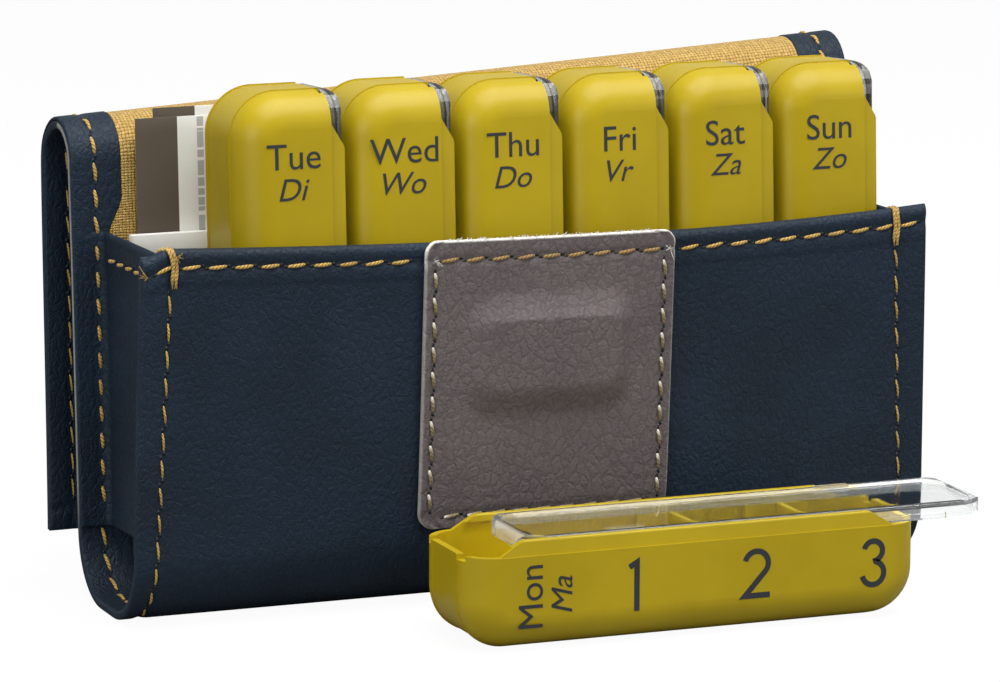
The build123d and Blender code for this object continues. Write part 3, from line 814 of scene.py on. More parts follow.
def gussetShape(side):
    backRef = backY(gusset["bottomBack"], gusset["backDepth"])
    rimX, webX = side * (halfWidth - gusset["edgeInset"]), side * gusset["web"]
    plan = roundedPath([(rimX, gussetFront), (webX, gussetFront), (webX, backRef), (rimX, backRef)],
                       [gusset["round"], gusset["round"]])
    total = plan["length"][-1]
    u = spaced(0, total, gusset["columnStep"], (gusset["turnAt"], total - gusset["turnAt"]), 0.3,
               gusset["turnReach"])
    v = spaced(0, 1, 1 / gusset["rows"], rounding=0.01, fine=0.004)
    v = np.unique(np.round(np.concatenate([v, 1 - np.array(gusset["topRows"])]), 5))
    vGrid, uGrid = np.meshgrid(v, u, indexing="ij")
    point, normal = onPath(plan, uGrid)
    across = (point[..., 1] - gussetFront) / (backRef - gussetFront)
    backShare = np.clip(across, 0, 1)
    low = gusset["bottomFront"] + (gusset["bottomBack"] - gusset["bottomFront"]) * across
    top = gusset["top"] + gusset["rise"] * backShare
    z = low + (top - low) * vGrid
    fromTop = top - z
    hem = 1 - smooth(gusset["hem"] - gusset["hemEase"], gusset["hem"], fromTop)
    seam = bell(gusset["seam"], gusset["seamWidth"], fromTop)
    thick = (roundEdge(np.minimum(uGrid, total - uGrid), gusset["flangeRound"])
             * roundEdge(fromTop, gusset["topRound"]) * roundEdge(z - low, gusset["footRound"]))
    onBack = smooth(total - gusset["pareFrom"], total - gusset["pareTo"], uGrid)
    web = np.sin(np.pi * backShare) ** 0.5
    swollen = (gusset["hemSwell"] * hem - gusset["seamPress"] * seam) * web
    half = (gusset["leather"] / 2 * (1 - gusset["pared"] * onBack) + swollen) * thick
    bow = -side * gusset["sag"] * np.sin(np.pi * backShare) * np.sin(np.pi * vGrid) * (side < 0)

    def placeAt(depth):
        x = point[..., 0] + normal[..., 0] * depth + bow
        x = x + drawnIn(x, wallet["rimHeight"] - z) * (1 - backShare)
        y = point[..., 1] + normal[..., 1] * depth + (backY(z, gusset["backDepth"]) - backRef) * backShare
        return np.stack([x, y, z], -1)

    return closedSheet(placeAt(half), placeAt(-half), np.stack([uGrid, z], -1))


gussetLeft = piece("gussetLeft", gussetShape(-1), navyLeather, sharpAngle)
gussetRight = piece("gussetRight", gussetShape(1), navyLeather, sharpAngle)
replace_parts(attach(gussetLeft, "wallet"), "gusset_left")
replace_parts(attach(gussetRight, "wallet"), "gusset_right")

# The tab: a rounded plate on the front with a flat-topped bump over the magnet
tabBox, magnetBox = nodeBox("closure_tab"), nodeBox("tab_magnet")
tabLow, tabTop = tabBox[0][2], tabBox[1][2]
tab = {
    "leather": 1.2, "underside": 0.03, "corner": 3.0, "topCorner": 2.4, "shear": 0.03, "edgeRound": 0.35,
    "bumpSpread": 1.6, "bumpTop": 5.0, "bumpSide": 4.2, "bumpLow": 6.5, "bumpHigh": 1.9, "bumpCorner": 1.6,
    "hollow": 1.5, "sideSeam": 1.9, "rimSeam": 3.4, "lowSeam": 2.2, "seamWidth": 0.7, "seamPress": 0.3,
    "rawFrom": 0.02, "rawReach": 0.5, "rawLow": 0.3, "rawFade": 6.0, "rawFull": 1.0, "rimReach": 30.0,
    "rowStep": 0.6, "columnShare": 0.026, "edgeShares": (0.02, 0.16, 0.012),
    "threadBed": 0.25, "sidePitch": 4.2, "stitchGap": 0.8, "sideStart": 4.2, "rimShare": 0.97, "lowShare": 0.9,
}
tabMid, tabHalf = (tabBox[0][0] + tabBox[1][0]) / 2, (tabBox[1][0] - tabBox[0][0]) / 2


def cornerCut(radius, over):  # what a quarter circle takes off the width, over the corner's start
    return radius - np.sqrt(np.clip(radius ** 2 - over ** 2, 0, None))


def tabEdge(z):  # half width at a height
    top = tab["topCorner"] - np.clip(tabTop - z, 0, tab["topCorner"])
    low = tab["corner"] - np.clip(z - tabLow, 0, tab["corner"])
    return tabHalf - cornerCut(tab["topCorner"], top) - cornerCut(tab["corner"], low)


def tabX(share, z):
    return tabMid + share * tabEdge(z) + tab["shear"] * (z - tabTop)


def tabFace(x, z, lift):  # the outer face of the front panel under the tab, and lift outwards from it
    return frontFace - wallet["hemOut"] - frontSwell(x, wallet["rimHeight"] - z) - lift


def bumpHeight(x, z):
    # Flat over a rounded rectangle; above it a hollow slope with a crisp upper edge, soft slopes elsewhere
    centre = (magnetBox[0] + magnetBox[1]) / 2
    reach = (magnetBox[1] - magnetBox[0]) / 2
    slanted = x - tab["shear"] * (z - tabTop)
    beside = np.clip(np.abs(slanted - centre[0]) - reach[0] - tab["bumpSpread"] + tab["bumpCorner"], 0, None)
    above = np.clip(z - centre[2] - reach[2] + tab["bumpCorner"], 0, None)
    below = np.clip(centre[2] - reach[2] + tab["bumpCorner"] - z, 0, None)
    distance = np.sqrt(beside ** 2 + above ** 2 + below ** 2) + 1e-6
    weighted = (beside * tab["bumpSide"]) ** 2 + (above * tab["bumpTop"]) ** 2 + (below * tab["bumpLow"]) ** 2
    width = np.sqrt(weighted) / distance
    away = np.clip((distance - tab["bumpCorner"]) / np.maximum(width, 0.1), 0, 1)
    crisp = (above / distance) ** 2
    return tab["bumpHigh"] * (crisp * (1 - away) ** tab["hollow"] + (1 - crisp) * (1 - smooth(0, 1, away)))


def tabRim(x, z):  # the tab's top follows the rim's sag
    return rimShift(x) * smooth(tabTop - tab["rimReach"], tabTop, z)


def tabShape():
    z = spaced(tabLow, tabTop, tab["rowStep"], (tabTop - tab["rimSeam"], magnetBox[1][2]), 0.3)
    share = spaced(-1, 1, tab["columnShare"], rounding=0.02, fine=0.01)
    nearEdge = np.arange(*tab["edgeShares"])
    share = np.unique(np.round(np.concatenate([share, 1 - nearEdge, nearEdge - 1]), 5))
    zGrid, tGrid = np.meshgrid(z, share, indexing="ij")
    xGrid = tabX(tGrid, zGrid)
    sideEdge = (1 - np.abs(tGrid)) * tabEdge(zGrid)
    endEdge = np.minimum(zGrid - tabLow, tabTop - zGrid)
    thick = roundEdge(sideEdge, tab["edgeRound"]) * roundEdge(endEdge, tab["edgeRound"])
    seams = ((tab["sideSeam"], sideEdge), (tabTop - tab["rimSeam"], zGrid), (tabLow + tab["lowSeam"], zGrid))
    seam = np.max([bell(place, tab["seamWidth"], value) for place, value in seams], axis=0)
    outer = tab["leather"] + bumpHeight(xGrid, zGrid) - tab["seamPress"] * seam
    middle = (outer + tab["underside"]) / 2
    half = (outer - tab["underside"]) / 2 * thick
    cutEdge = smooth(tabTop - tab["rawFade"], tabTop - tab["rawFull"], zGrid)
    atEdge = 1 - smooth(tab["rawFrom"], tab["rawReach"], np.minimum(sideEdge, endEdge))
    raw = atEdge * (tab["rawLow"] + (1 - tab["rawLow"]) * cutEdge)

    def placeAt(lift):
        return np.stack([xGrid, tabFace(xGrid, zGrid, lift), zGrid + tabRim(xGrid, zGrid)], -1)

    return closedSheet(placeAt(middle + half), placeAt(middle - half), np.stack([xGrid, zGrid], -1), raw)


closureTab = piece("closureTab", tabShape(), taupeLeather, sharpAngle)
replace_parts(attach(closureTab, "wallet"), "closure_tab")
print("gussets and tab made")

# Stitches: arched rods a pitch apart along a seam, with a hole under each end whose near-black is painted shade
stitch = {
    "pitch": 4.6, "length": 3.9, "radius": 0.34, "thinEnd": 0.35, "taper": 0.7, "flatten": 0.85, "arch": 0.3,
    "sink": 0.3, "slant": 0.13, "leanLow": 0.6, "leanSpan": 0.8, "scatter": (12.9, 43.7), "rings": 7, "sides": 6,
    "hole": 0.34, "holeLong": 1.25, "holeLift": 0.03, "holeDeep": 0.4,
}
sixSidedCap = [[0, 1, 2, 3], [0, 3, 4, 5]]  # two quads that close a ring of six points


def needleHoles(ends, up, ahead):
    # Flat six-sided pits, longer along the seam: a ring on the surface and one point below it
    angle = np.linspace(0, 2 * np.pi, 6, endpoint=False)[:, None]
    holeAt = ends + up * (stitch["sink"] + stitch["holeLift"])
    aside = np.cross(up, ahead)
    ring = stitch["holeLong"] * ahead[:, None] * np.cos(angle) + aside[:, None] * np.sin(angle)
    pit = holeAt - stitch["holeDeep"] * up
    points = np.concatenate([holeAt[:, None] + stitch["hole"] * ring, pit[:, None]], 1)
    index = np.arange(len(points) * 7).reshape(-1, 7)
    face = np.concatenate([index[:, corners] for corners in sixSidedCap])
    sides = np.concatenate([index[:, [(k + 1) % 6, k, 6]] for k in range(6)])
    return shape(points, face, sides)


def stitchRow(points, normals, pitch=None, length=None, size=1.0):
    # Each rod's middle line rises and falls as a sine along the seam, and its radius shrinks towards both ends
    pitch, length = pitch or stitch["pitch"], length or stitch["length"]
    travel = travelled(points)
    count = max(int(travel[-1] / pitch), 1)
    start = (travel[-1] - count * pitch) / 2 + pitch * np.arange(count) + (pitch - length) / 2
    t = np.linspace(0, 1, stitch["rings"])
    reach = start[:, None] + length * t
    centre, up = readAlong(travel, points, reach), unit(readAlong(travel, normals, reach))
    ahead = unit(np.gradient(centre, axis=1))
    aside = np.cross(up, ahead)
    rise = np.sin(np.pi * t)
    wave, spread = stitch["scatter"]
    uneven = np.modf(np.abs(np.sin(wave * np.arange(count) + points[0].sum())) * spread)[0]
    lean = stitch["leanLow"] + stitch["leanSpan"] * uneven
    centre = centre + up * (stitch["arch"] * size * rise - stitch["sink"] * (1 - rise))[:, None]
    centre = centre + aside * (stitch["slant"] * (t - 0.5) * length * lean[:, None])[..., None]
    radius = stitch["radius"] * size * (stitch["thinEnd"] + (1 - stitch["thinEnd"]) * rise ** stitch["taper"])
    angle = np.linspace(0, 2 * np.pi, stitch["sides"], endpoint=False)[:, None]
    ring = aside[:, :, None] * np.cos(angle) + up[:, :, None] * np.sin(angle) * stitch["flatten"]
    rods = centre[:, :, None] + radius[None, :, None, None] * ring
    corner = np.arange(rods[..., 0].size).reshape(rods.shape[:3])
    around = np.concatenate([corner, corner[:, :, :1]], 2)
    quads = np.stack([around[:, :-1, :-1], around[:, :-1, 1:], around[:, 1:, 1:], around[:, 1:, :-1]], -1)
    caps = [end[:, corners] for end in (corner[:, 0, ::-1], corner[:, -1]) for corners in sixSidedCap]
    turns = np.arange(stitch["sides"]) / stitch["sides"] * 2
    uv = np.stack(np.broadcast_arrays(turns, (length * t)[:, None]), -1)
    uv = np.broadcast_to(uv, rods.shape[:3] + (2,))
    made = outward(shape(rods, np.concatenate([quads.reshape(-1, 4)] + caps), uv=uv))
    atEnds = (values[:, [0, -1]].reshape(-1, 3) for values in (centre, up, ahead))
    return made, needleHoles(*atEnds)


def seamPieces(name, rows, thread, rider=None, bend=None):
    rods, holes = zip(*rows)
    kinds = (("Stitches", rods, thread, "gold_lining"), ("Holes", holes, holeShade, "navy_leather"))
    for kind, shapes, finish, slot in kinds:
        made = piece(name + kind, joined(list(shapes)), finish)
        if bend:
            bendAt(made)
        else:
            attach(made, rider)


sewing = {
    "outerBed": 0.22, "innerBed": 0.1, "borderBed": 0.2, "spacing": 0.5, "acrossPoints": 160, "rimLeft": 0.6,
    "rimRight": 0.8, "tabGap": 0.4, "frontStart": 5.0, "baseGap": 2.0, "innerStart": 50.0, "borderGap": 0.5,
    "frontSize": 0.65, "flapSize": 0.6, "flapInnerSize": 0.8,
}


def alongStrip(start, stop, edge, depth, facing, size=1.0):  # a border seam that runs with the strip
    s = np.linspace(start, stop, max(int((stop - start) / sewing["spacing"]), 8))
    return stitchRow(onStrip(s, seamX(s, edge), depth), stripNormal(s, facing), size=size)


def acrossStrip(s, left, right, depth, facing):  # a seam that runs across it
    x = np.linspace(left, right, sewing["acrossPoints"])
    return stitchRow(onStrip(s, x, depth), stripNormal(np.full_like(x, s), facing))


outerFace, innerFace = -wallet["skin"] + sewing["outerBed"], wallet["back"] - sewing["innerBed"]
borderFace, rimFace = lining["bindingHigh"] - sewing["borderBed"], outerFace - wallet["hemOut"]
tabLeft, tabRight = tabX(np.array([-1.0, 1.0]), tabTop - tab["rimSeam"])
flapSeamAt = stripEnd - wallet["flapSeam"]
walletRows = [acrossStrip(wallet["rimSeam"], left, right, rimFace, -1) for left, right in (
    (-halfWidth + wallet["drawIn"] + sewing["rimLeft"], tabLeft - sewing["tabGap"]),
    (tabRight + sewing["tabGap"], halfWidth - sewing["rimRight"]))]
foldRows, flapRows, flapInnerRows = [], [], []
frontStart, frontEnd = sewing["frontStart"], baseStart - sewing["baseGap"]
for edge in (-1, 1):
    # Under the base the thread lies pressed in, so the outer rows stop before it and go on behind it
    walletRows += [
        alongStrip(frontStart, frontEnd, edge, outerFace, -1, sewing["frontSize"]),
        alongStrip(backStart, foldMid, edge, outerFace, -1),
        alongStrip(sewing["innerStart"], liningStart, edge, innerFace, 1),
        alongStrip(liningStart + sewing["borderGap"], foldMid, edge, borderFace, 1)]
    foldRows += [alongStrip(foldMid, overMid, edge, outerFace, -1),
                 alongStrip(foldMid, overMid, edge, borderFace, 1)]
    flapRows.append(alongStrip(overMid, flapSeamAt, edge, outerFace, -1, sewing["flapSize"]))
    flapInnerRows.append(alongStrip(overMid, flapSeamAt, edge, borderFace, 1, sewing["flapInnerSize"]))
for rows, depth, facing in ((flapRows, outerFace, -1), (flapInnerRows, borderFace, 1)):
    rows.append(acrossStrip(flapSeamAt, -wallet["borderSeam"], wallet["borderSeam"], depth, facing))
seamPieces("wallet", walletRows, goldThread, bend="fold")
seamPieces("fold", foldRows, goldThread, bend="turn")
seamPieces("flap", flapRows, goldThread, bend="bend")
# The flap's inner rows take the darker thread as painted shade
seamPieces("flapInner", flapInnerRows, shadedGoldThread, bend="bend")


def tabSeam(share, z, pitch=None):
    x = tabX(share, z)
    points = np.stack([x, tabFace(x, z, tab["leather"] - tab["threadBed"]), z + tabRim(x, z)], -1)
    forwards = np.broadcast_to(np.array([0.0, -1.0, 0.0]), points.shape)
    return stitchRow(points, forwards, pitch, pitch and pitch - tab["stitchGap"])


zRim, zLow = np.full(90, tabTop - tab["rimSeam"]), np.full(90, tabLow + tab["lowSeam"])
zSide = np.linspace(tabTop - tab["sideStart"], tabLow + tab["lowSeam"], 100)
sideShare = 1 - tab["sideSeam"] / tabEdge(zSide)
tabRows = [tabSeam(edge * sideShare, zSide, tab["sidePitch"]) for edge in (-1, 1)]
tabRows.append(tabSeam(np.linspace(-tab["lowShare"], tab["lowShare"], 90), zLow, tab["sidePitch"]))
rimRow = tabSeam(np.linspace(-tab["rimShare"], tab["rimShare"], 90), zRim)
seamPieces("tabRim", [rimRow], brownThread, rider="wallet")
seamPieces("tabSide", tabRows, paleThread, rider="wallet")

gussetSeam = {"points": 60, "from": 0.07, "to": 0.93, "inset": 1.5, "lift": 0.15}
gussetRows = []
hemShare = np.linspace(gussetSeam["from"], gussetSeam["to"], gussetSeam["points"])
zHem = gusset["top"] - gusset["seam"] + gusset["rise"] * hemShare
hemEnd = backY(zHem[-1], gusset["backDepth"])
yHem = np.linspace(gussetFront + gussetSeam["inset"], hemEnd - gussetSeam["inset"], gussetSeam["points"])
for edge in (-1, 1):
    for facing in (-1, 1):
        xHem = edge * gusset["web"] + facing * (gusset["leather"] / 2 + gussetSeam["lift"])
        points = np.stack([np.full_like(yHem, xHem), yHem, zHem], -1)
        gussetRows.append(stitchRow(points, np.broadcast_to(np.array([float(facing), 0.0, 0.0]), points.shape)))
seamPieces("gusset", gussetRows, goldThread, rider="wallet")

# Bar tacks: threads wound over the rim at the ends of the front's side seams, with frayed ends
tack = {
    "places": (-65.2, 66.4), "phases": (0.0, 2.1, 4.2), "radius": 0.27, "from": 6.4, "to": 3.0, "round": 1.5,
    "over": 0.25, "lift": 0.2, "wander": 0.42, "turns": 7.0, "lean": 2.2, "leanFrom": 0.25, "leanTo": 0.9,
}
fibre = {
    "radius": 0.07, "scatter": 0.45, "curl": 0.25, "count": 9, "reach": 1.6,
    "tackRoot": (1.3, 0.3, 0.3), "tackAim": (0.75, -0.3, 0.2), "rimRoot": (0.9, 0.2), "rimAim": (-0.6, -0.3, 0.3),
    "edgeCount": 420, "edgeShare": 0.96, "edgeLift": (0.15, 1.0), "edgeSink": 0.15, "edgeReach": 0.42,
    "edgeAim": (0.0, -0.3, 0.5),
    "seamInset": (1.6, -1.2), "seamLift": 0.1, "seamReach": 1.5, "seamAim": (0.1, -0.4, -0.2),
}
chance = np.random.default_rng(7)


def threadTube(line, radius, sides=6):
    # Rings along a line, each in the plane across it, thinner at the ends and closed by small caps
    ahead = unit(np.gradient(line, axis=0))
    aside = unit(np.cross(ahead, np.array([1.0, 0.0, 0.0]) + 0.01))
    up = np.cross(aside, ahead)
    angle = np.linspace(0, 2 * np.pi, sides, endpoint=False)[:, None]
    size = radius * np.clip(np.sin(np.linspace(0, np.pi, len(line))) * 4, 0.4, 1)
    ring = aside[:, None] * np.cos(angle) + up[:, None] * np.sin(angle)
    rings = line[:, None] + size[:, None, None] * ring
    corner = np.arange(len(line) * sides).reshape(len(line), sides)
    quads = gridQuads(np.concatenate([corner, corner[:, :1]], 1))
    caps = [end[sixSidedCap] for end in (corner[0, ::-1], corner[-1])]
    uv = np.stack(np.broadcast_arrays(np.arange(sides) / sides * 2, travelled(line)[:, None]), -1)
    return outward(shape(rings, np.concatenate([quads] + caps), uv=uv))


def rimWrap(place, phase):
    # Up the front face, half a turn over the rim and down inside, wandering from side to side as it goes
    turn = np.linspace(0, np.pi, 14)[1:-1]
    outer = -wallet["skin"] - wallet["hemOut"] - tack["lift"]
    inner = wallet["back"] + wallet["hemIn"] + tack["lift"]
    s = np.concatenate([np.linspace(tack["from"], tack["round"], 10),
                        tack["round"] - (tack["round"] + tack["over"]) * np.sin(turn),
                        np.linspace(tack["round"], tack["to"], 6)])
    overRim = (outer + inner) / 2 - (inner - outer) / 2 * np.cos(turn)
    depth = np.concatenate([np.full(10, outer), overRim, np.full(6, inner)])
    t = np.linspace(0, 1, len(s))
    leaning = tack["lean"] * smooth(tack["leanFrom"], tack["leanTo"], t) * (place < 0)
    x = place + tack["wander"] * np.sin(tack["turns"] * t + phase) - leaning
    return threadTube(onStrip(s, x, depth), tack["radius"])


def fray(root, aim, count, reach):
    # Loose fibres: a fan of short curved hairs from one point
    t = np.linspace(0, 1, 6)[:, None]
    hairs = []
    ways = np.array(aim) + fibre["scatter"] * chance.normal(size=(count, 3))
    for way, share in zip(ways, chance.uniform(0.5, 1.0, count)):
        curl = fibre["curl"] * chance.normal(size=3)
        hairs.append(threadTube(root + reach * share * (way * t + curl * t ** 2), fibre["radius"]))
    return hairs


tacks = [rimWrap(place, phase) for place in tack["places"] for phase in tack["phases"]]
down, aside, lift = fibre["tackRoot"]
tacks += fray(onStrip(down, tack["places"][0] + aside, rimFace - lift), fibre["tackAim"], fibre["count"],
              fibre["reach"])
aside, lift = fibre["rimRoot"]
tacks += fray(onStrip(wallet["rimSeam"], wallet["drawIn"] + aside - halfWidth, rimFace - lift), fibre["rimAim"],
              fibre["count"], fibre["reach"])
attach(piece("rimTacks", joined(tacks), goldThread), "wallet")

# Raw fibres along the tab's cut top edge and at the ends of its rim seam
edgeShare = chance.uniform(-fibre["edgeShare"], fibre["edgeShare"], fibre["edgeCount"])
edgeX = tabX(edgeShare, np.full(fibre["edgeCount"], tabTop))
edgeY = tabFace(edgeX, tabTop, chance.uniform(*fibre["edgeLift"], fibre["edgeCount"]))
edgeRoots = np.stack([edgeX, edgeY, tabTop - fibre["edgeSink"] + tabRim(edgeX, tabTop)], -1)
fibres = [hair for root in edgeRoots for hair in fray(root, fibre["edgeAim"], 1, fibre["edgeReach"])]
for x in (tabLeft + fibre["seamInset"][0], tabRight + fibre["seamInset"][1]):
    z = tabTop - tab["rimSeam"]
    root = np.array([x, tabFace(x, z, tab["leather"] + fibre["seamLift"]), z + tabRim(x, z)])
    fibres += fray(root, fibre["seamAim"], fibre["count"], fibre["seamReach"])
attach(piece("tabFibres", joined(fibres), rawFibre), "wallet")
print("seams stitched")

# Papers: sheets that lean with the back, their feet clear of the wallet's round bottom
paper = {
    "foot": 2.8, "round": 0.05, "crease": 50, "thinnest": 0.2, "cardShare": 0.6, "cardStep": 2.5, "bow": 0.12,
    "leaf": 0.22, "pages": 4, "inset": 0.3, "turnShare": 0.98, "leafStep": 2.5, "rowStep": 3.0,
    "turnReach": 1.6, "turnStep": 0.12, "pathStep": 0.1,
}


def leanedBox(name):  # a leaning sheet's box, and its own thickness and height
    box = nodeBox(name)
    size = box[1] - box[0]
    thickness = size[1] * leanCos - size[2] * leanSin
    return box, thickness, size[2] / leanCos


def leaned(box, thickness, along, across):  # y and z of a place on a sheet that leans in its box
    lowY, lowZ = box[0][1], box[0][2] + thickness * leanSin
    return lowY + along * leanSin + across * leanCos, lowZ + along * leanCos - across * leanSin


def cardShape(name, bowTurns):
    box, thickness, height = leanedBox(name)
    thickness = max(thickness, paper["thinnest"])
    height = height - thickness * leanSin / leanCos
    along = spaced(paper["foot"], height, paper["cardStep"], rounding=paper["round"])
    x = spaced(box[0][0], box[1][0], paper["cardStep"], rounding=paper["round"])
    aGrid, xGrid = np.meshgrid(along, x, indexing="ij")
    edge = np.minimum(np.minimum(aGrid - along[0], height - aGrid), np.minimum(xGrid - x[0], x[-1] - xGrid))
    half = thickness / 2 * paper["cardShare"] * roundEdge(edge, paper["round"])
    middle = thickness / 2 + paper["bow"] * np.sin(bowTurns * (xGrid - x[0]) / (x[-1] - x[0])) * aGrid / height

    def placeAt(across):
        return np.stack([xGrid, *leaned(box, thickness, aGrid, across)], -1)

    return closedSheet(placeAt(middle + half), placeAt(middle - half), np.stack([xGrid - x[0], aGrid], -1))


def leafletShape():
    # A zigzag of leaves: the plan path turns at alternate ends and is carried up the lean
    box, thickness, height = leanedBox("leaflet")
    height = height - thickness * leanSin / leanCos
    left, right = box[0][0] + paper["inset"], box[1][0] - paper["inset"]
    levels = np.linspace(paper["leaf"] / 2, thickness - paper["leaf"] / 2, paper["pages"])
    corners = []
    for k, level in enumerate(levels):
        ends = [(left, level), (right, level)]
        corners += ends if k % 2 == 0 else ends[::-1]
    turnRadius = (levels[1] - levels[0]) / 2 * paper["turnShare"]
    plan = roundedPath(corners, [turnRadius] * (len(corners) - 2), paper["pathStep"])
    total = plan["length"][-1]
    turns = [np.arange(turn - paper["turnReach"], turn + paper["turnReach"], paper["turnStep"])
             for turn in (right - left) * np.arange(1, paper["pages"])]
    u = np.unique(np.concatenate([spaced(0, total, paper["leafStep"], rounding=paper["round"])] + turns))
    along = spaced(paper["foot"], height, paper["rowStep"], rounding=paper["round"])
    aGrid, uGrid = np.meshgrid(along, u, indexing="ij")
    point, normal = onPath(plan, uGrid)
    edge = np.minimum(np.minimum(aGrid - along[0], height - aGrid), np.minimum(uGrid, total - uGrid))
    half = paper["leaf"] / 2 * roundEdge(edge, paper["round"])

    def placeAt(depth):
        place = point + normal * depth[..., None]
        return np.stack([place[..., 0], *leaned(box, thickness, aGrid, place[..., 1])], -1)

    return closedSheet(placeAt(half), placeAt(-half), np.stack([point[..., 0] - left, aGrid], -1))


for body, title, made, finish in (
        ("leaflet", "leafletPages", leafletShape(), leafletPaper),
        ("front_card", "frontCard", cardShape("front_card", 3.1), stripedPaper),
        ("rear_card", "rearCard", cardShape("rear_card", 6.2), stripedPaper)):
    made = piece(title, made, finish, paper["crease"])
    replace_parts(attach(made, body), body)
print("papers placed")

# Labels: two lines with the day's name at the label end of each tray, and a number for each compartment
label = {"first": dict(zip(days, ["Mon", "Tue", "Wed", "Thu", "Fri", "Sat", "Sun"])),
         "second": dict(zip(days, ["Ma", "Di", "Wo", "Do", "Vr", "Za", "Zo"])),
         "firstAt": 10.8, "secondAt": 16.3, "firstSize": 6.2, "secondSize": 5.4, "slant": 0.28,
         "numberAt": (29.1, 51.0, 72.8), "numberSize": 8.5, "numberHeight": 10.0, "stroke": 0.056, "mitre": 0.4,
         "lift": 0.02, "thick": 0.02}


def arc(centre, radius, start, stop):
    angle = np.radians(np.linspace(start, stop, 26))
    return [(centre[0] + radius * np.cos(turn), centre[1] + radius * np.sin(turn)) for turn in angle]


digitStrokes = {  # middle lines of the digits, one unit high
    "1": [(-0.16, 0.88), (0.0, 0.97), (0.0, 0.0)],
    "2": arc((0.0, 0.7), 0.25, 165, -35) + [(-0.25, 0.062), (0.29, 0.062)],
    "3": arc((0.0, 0.735), 0.2, 165, -75) + arc((0.0, 0.29), 0.235, 75, -168),
}


def meshPoints(mesh):
    points = np.empty(len(mesh.vertices) * 3)
    mesh.vertices.foreach_get("co", points)
    return points.reshape(-1, 3)


def centred(points):  # moved so that the middle of their box lies at the origin, heights kept
    return points - (points.min(0) + points.max(0)) / 2 * np.array([1, 1, 0])


def strokedDigit(digit, size):
    # A ribbon on both sides of the middle line: each point moves along the mean of its two normals, mitred
    line = np.array(digitStrokes[digit])
    heading = unit(np.diff(line, axis=0))
    normal = np.stack([-heading[:, 1], heading[:, 0]], -1)
    before, after = np.concatenate([normal[:1], normal]), np.concatenate([normal, normal[-1:]])
    mean = unit(before + after)
    mean *= (label["stroke"] / np.maximum((mean * after).sum(1), label["mitre"]))[:, None]
    rings = np.stack([line + mean, line - mean, line - mean, line + mean], 1) * size
    height = np.array([1, 1, -1, -1]) * label["thick"]
    points = np.concatenate([rings, np.broadcast_to(height[:, None], rings.shape[:2] + (1,))], -1)
    corner = np.arange(len(line) * 4).reshape(-1, 4)
    faces = gridQuads(np.concatenate([corner, corner[:, :1]], 1))
    faces = np.concatenate([faces, corner[:1, ::-1], corner[-1:]])
    return centred(points.reshape(-1, 3)), faces.tolist()


def textOutline(words, size, slant):
    # Flat letters centred on their box, as points with a thickness, and their faces
    font = bpy.data.curves.new("lettering", "FONT")
    font.body, font.size, font.shear = words, size, slant
    font.extrude, font.resolution_u = label["thick"], 4
    holder = bpy.data.objects.new("lettering", font)
    scene.collection.objects.link(holder)
    bpy.context.view_layer.update()
    mesh = bpy.data.meshes.new_from_object(holder.evaluated_get(bpy.context.evaluated_depsgraph_get()))
    bpy.data.objects.remove(holder)
    points, faces = meshPoints(mesh), [list(polygon.vertices) for polygon in mesh.polygons]
    bpy.data.meshes.remove(mesh)
    return centred(points), faces


def trayFrame(day):
    # The tray's points turned back upright: its front face, label end, and the middle and bottom of its height
    x, y, z = meshPoints(frame["nodes"]["tray_" + day].data).T / mm
    if day == looseDay:
        return {"front": y.min(), "end": x.min(), "middle": (z.min() + z.max()) / 2, "bottom": z.min()}
    return {"front": (y * leanCos - z * leanSin).min(), "end": (y * leanSin + z * leanCos).max(),
            "middle": (x.min() + x.max()) / 2, "bottom": x.min()}


def onTray(day, fromLabelEnd, height, lift):
    # World point of a place on the tray's front face: distance from the label end, height above its bottom
    tray = trayFrame(day)
    fromLabelEnd, height, lift = np.broadcast_arrays(fromLabelEnd, height, lift)
    if day == looseDay:
        return np.stack([tray["end"] + fromLabelEnd, tray["front"] - lift, tray["bottom"] + height], -1)
    across, along = tray["front"] - lift, tray["end"] - fromLabelEnd
    y, z = across * leanCos + along * leanSin, along * leanCos - across * leanSin
    return np.stack([tray["bottom"] + height, y, z], -1)


for day in days:
    tray = trayFrame(day)
    points, faces = [], []
    lines = [(label["first"][day], label["firstSize"], 0.0, label["firstAt"], True),
             (label["second"][day], label["secondSize"], label["slant"], label["secondAt"], True)]
    lines += [(str(k + 1), label["numberSize"], 0.0, place, False) for k, place in enumerate(label["numberAt"])]
    for words, size, slant, place, isDay in lines:
        flat, rows = textOutline(words, size, slant) if isDay else strokedDigit(words, size)
        lift = label["lift"] + label["thick"] + flat[:, 2]
        if isDay:
            world = onTray(day, place - flat[:, 1], tray["middle"] - tray["bottom"] + flat[:, 0], lift)
        else:
            world = onTray(day, place + flat[:, 0], label["numberHeight"] + flat[:, 1], lift)
        start = sum(len(each) for each in points)
        points.append(world)
        faces += [[corner + start for corner in row] for row in rows]
    mesh = bpy.data.meshes.new("label_" + day)
    mesh.from_pydata((np.concatenate(points) * mm).tolist(), [], faces)
    mesh.validate()
    mesh.update()
    mesh.materials.append(labelInk)
    made = bpy.data.objects.new("label_" + day, mesh)
    scene.collection.objects.link(made)
    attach(made, "tray_" + day)
print("trays labelled")

# Stage, light and camera
stage = {"floor": 3.0, "white": 0.95, "bounce": 0.24, "ambient": 0.18, "mirrored": 0.5}
lights = {  # places and sizes in metres
    "overhead": {"place": (0.05, -0.2, 0.85), "aim": (0.0, 0.0, 0.03), "size": (0.9, 0.8), "power": 11.6},
    "frontFill": {"place": (0.7, -0.78, 0.36), "aim": (0.0, 0.0, 0.04), "size": (0.6, 0.5), "power": 1.9},
    "sideFill": {"place": (-0.8, -0.45, 0.3), "aim": (-0.07, 0.0, 0.04), "size": (0.5, 0.5), "power": 2.7},
}
pureWhite = (1.0, 1.0, 1.0, 1.0)


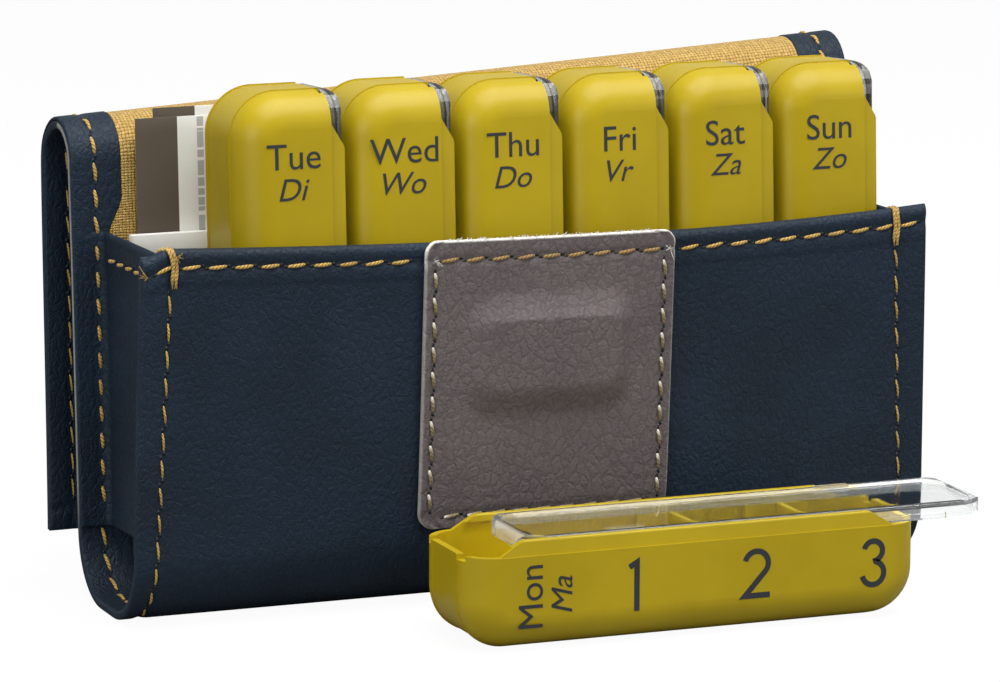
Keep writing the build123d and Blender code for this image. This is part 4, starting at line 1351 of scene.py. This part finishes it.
def seenDirectly(tree, path):  # 1 for what the camera sees, through clear plastic too
    return sums(tree, "MAXIMUM", path.outputs["Is Camera Ray"], path.outputs["Is Transmission Ray"])


def floorStage():
    mesh = bpy.data.meshes.new("floor")
    reach = stage["floor"]
    corners = [(-reach, -reach, 0), (reach, -reach, 0), (reach, reach, 0), (-reach, reach, 0)]
    mesh.from_pydata(corners, [], [(0, 1, 2, 3)])
    finish = bpy.data.materials.new("paleFloor")
    finish.use_nodes = True
    tree = finish.node_tree
    tree.nodes.clear()
    seen = seenDirectly(tree, node(tree, "LightPath"))
    grey = (stage["bounce"],) * 3 + (1.0,)  # what the object sees of the floor
    matt = node(tree, "BsdfDiffuse", {"Color": mixed(tree, seen, grey, pureWhite)}).outputs[0]
    white = node(tree, "Emission", {"Color": pureWhite, "Strength": 1.0}).outputs[0]
    both = node(tree, "MixShader", {0: sums(tree, "MULTIPLY", seen, stage["white"]), 1: matt, 2: white})
    tree.links.new(both.outputs[0], node(tree, "OutputMaterial").inputs["Surface"])
    mesh.materials.append(finish)
    made = bpy.data.objects.new("floor", mesh)
    scene.collection.objects.link(made)


def studioWorld():
    world = bpy.data.worlds.new("studio")
    scene.world = world
    world.use_nodes = True
    tree = world.node_tree
    tree.nodes.clear()
    # White where it is seen, dim as a light, and in between for what is mirrored
    path = node(tree, "LightPath")
    strength = sums(tree, "MULTIPLY_ADD", seenDirectly(tree, path), 1.0 - stage["ambient"], stage["ambient"])
    mirrored = stage["mirrored"] - stage["ambient"]
    strength = sums(tree, "MULTIPLY_ADD", path.outputs["Is Glossy Ray"], mirrored, strength)
    light = node(tree, "Background", {"Color": pureWhite, "Strength": strength})
    tree.links.new(light.outputs[0], node(tree, "OutputWorld").inputs["Surface"])


def areaLight(name, place, aim, size, power):
    lamp = bpy.data.lights.new(name, "AREA")
    lamp.shape, lamp.size, lamp.size_y, lamp.energy = "RECTANGLE", size[0], size[1], power
    made = bpy.data.objects.new(name, lamp)
    made.location = place
    away = np.asarray(place, float) - np.asarray(aim, float)
    made.rotation_euler = (math.atan2(math.hypot(away[0], away[1]), away[2]), 0,
                           math.atan2(away[1], away[0]) + math.pi / 2)
    scene.collection.objects.link(made)


floorStage()
studioWorld()
for name, light in lights.items():
    areaLight(name, **light)

camera = {"turn": 21.89, "tilt": 10.75, "roll": 0.21, "distance": 939.0, "right": -1.7, "up": 41.57,
          "lens": 195.2, "sensor": 36.0, "clip": (0.05, 20.0)}


def photoCamera():
    # The eye lies back along the line of sight from a point given to the right of and above the origin
    turn, tilt, roll = np.radians([camera["turn"], camera["tilt"], camera["roll"]])
    right = np.array([np.cos(turn), -np.sin(turn), 0])
    sight = np.array([np.sin(turn) * np.cos(tilt), np.cos(turn) * np.cos(tilt), -np.sin(tilt)])
    up = np.cross(right, sight)
    eye = (-camera["distance"] * sight + camera["right"] * right + camera["up"] * up) * mm
    rolledRight = np.cos(roll) * right + np.sin(roll) * up
    rolledUp = -np.sin(roll) * right + np.cos(roll) * up
    lens = bpy.data.cameras.new("photoCamera")
    lens.sensor_fit, lens.sensor_width, lens.lens = "HORIZONTAL", camera["sensor"], camera["lens"]
    lens.clip_start, lens.clip_end = camera["clip"]
    made = bpy.data.objects.new("photoCamera", lens)
    turnedTo = np.eye(4)
    turnedTo[:3, :3] = np.stack([rolledRight, rolledUp, -sight], -1)
    turnedTo[:3, 3] = eye
    made.matrix_world = Matrix(turnedTo.tolist())
    scene.collection.objects.link(made)
    scene.camera = made


photoCamera()
scene.view_settings.view_transform = "Standard"
print("stage, light and camera set")
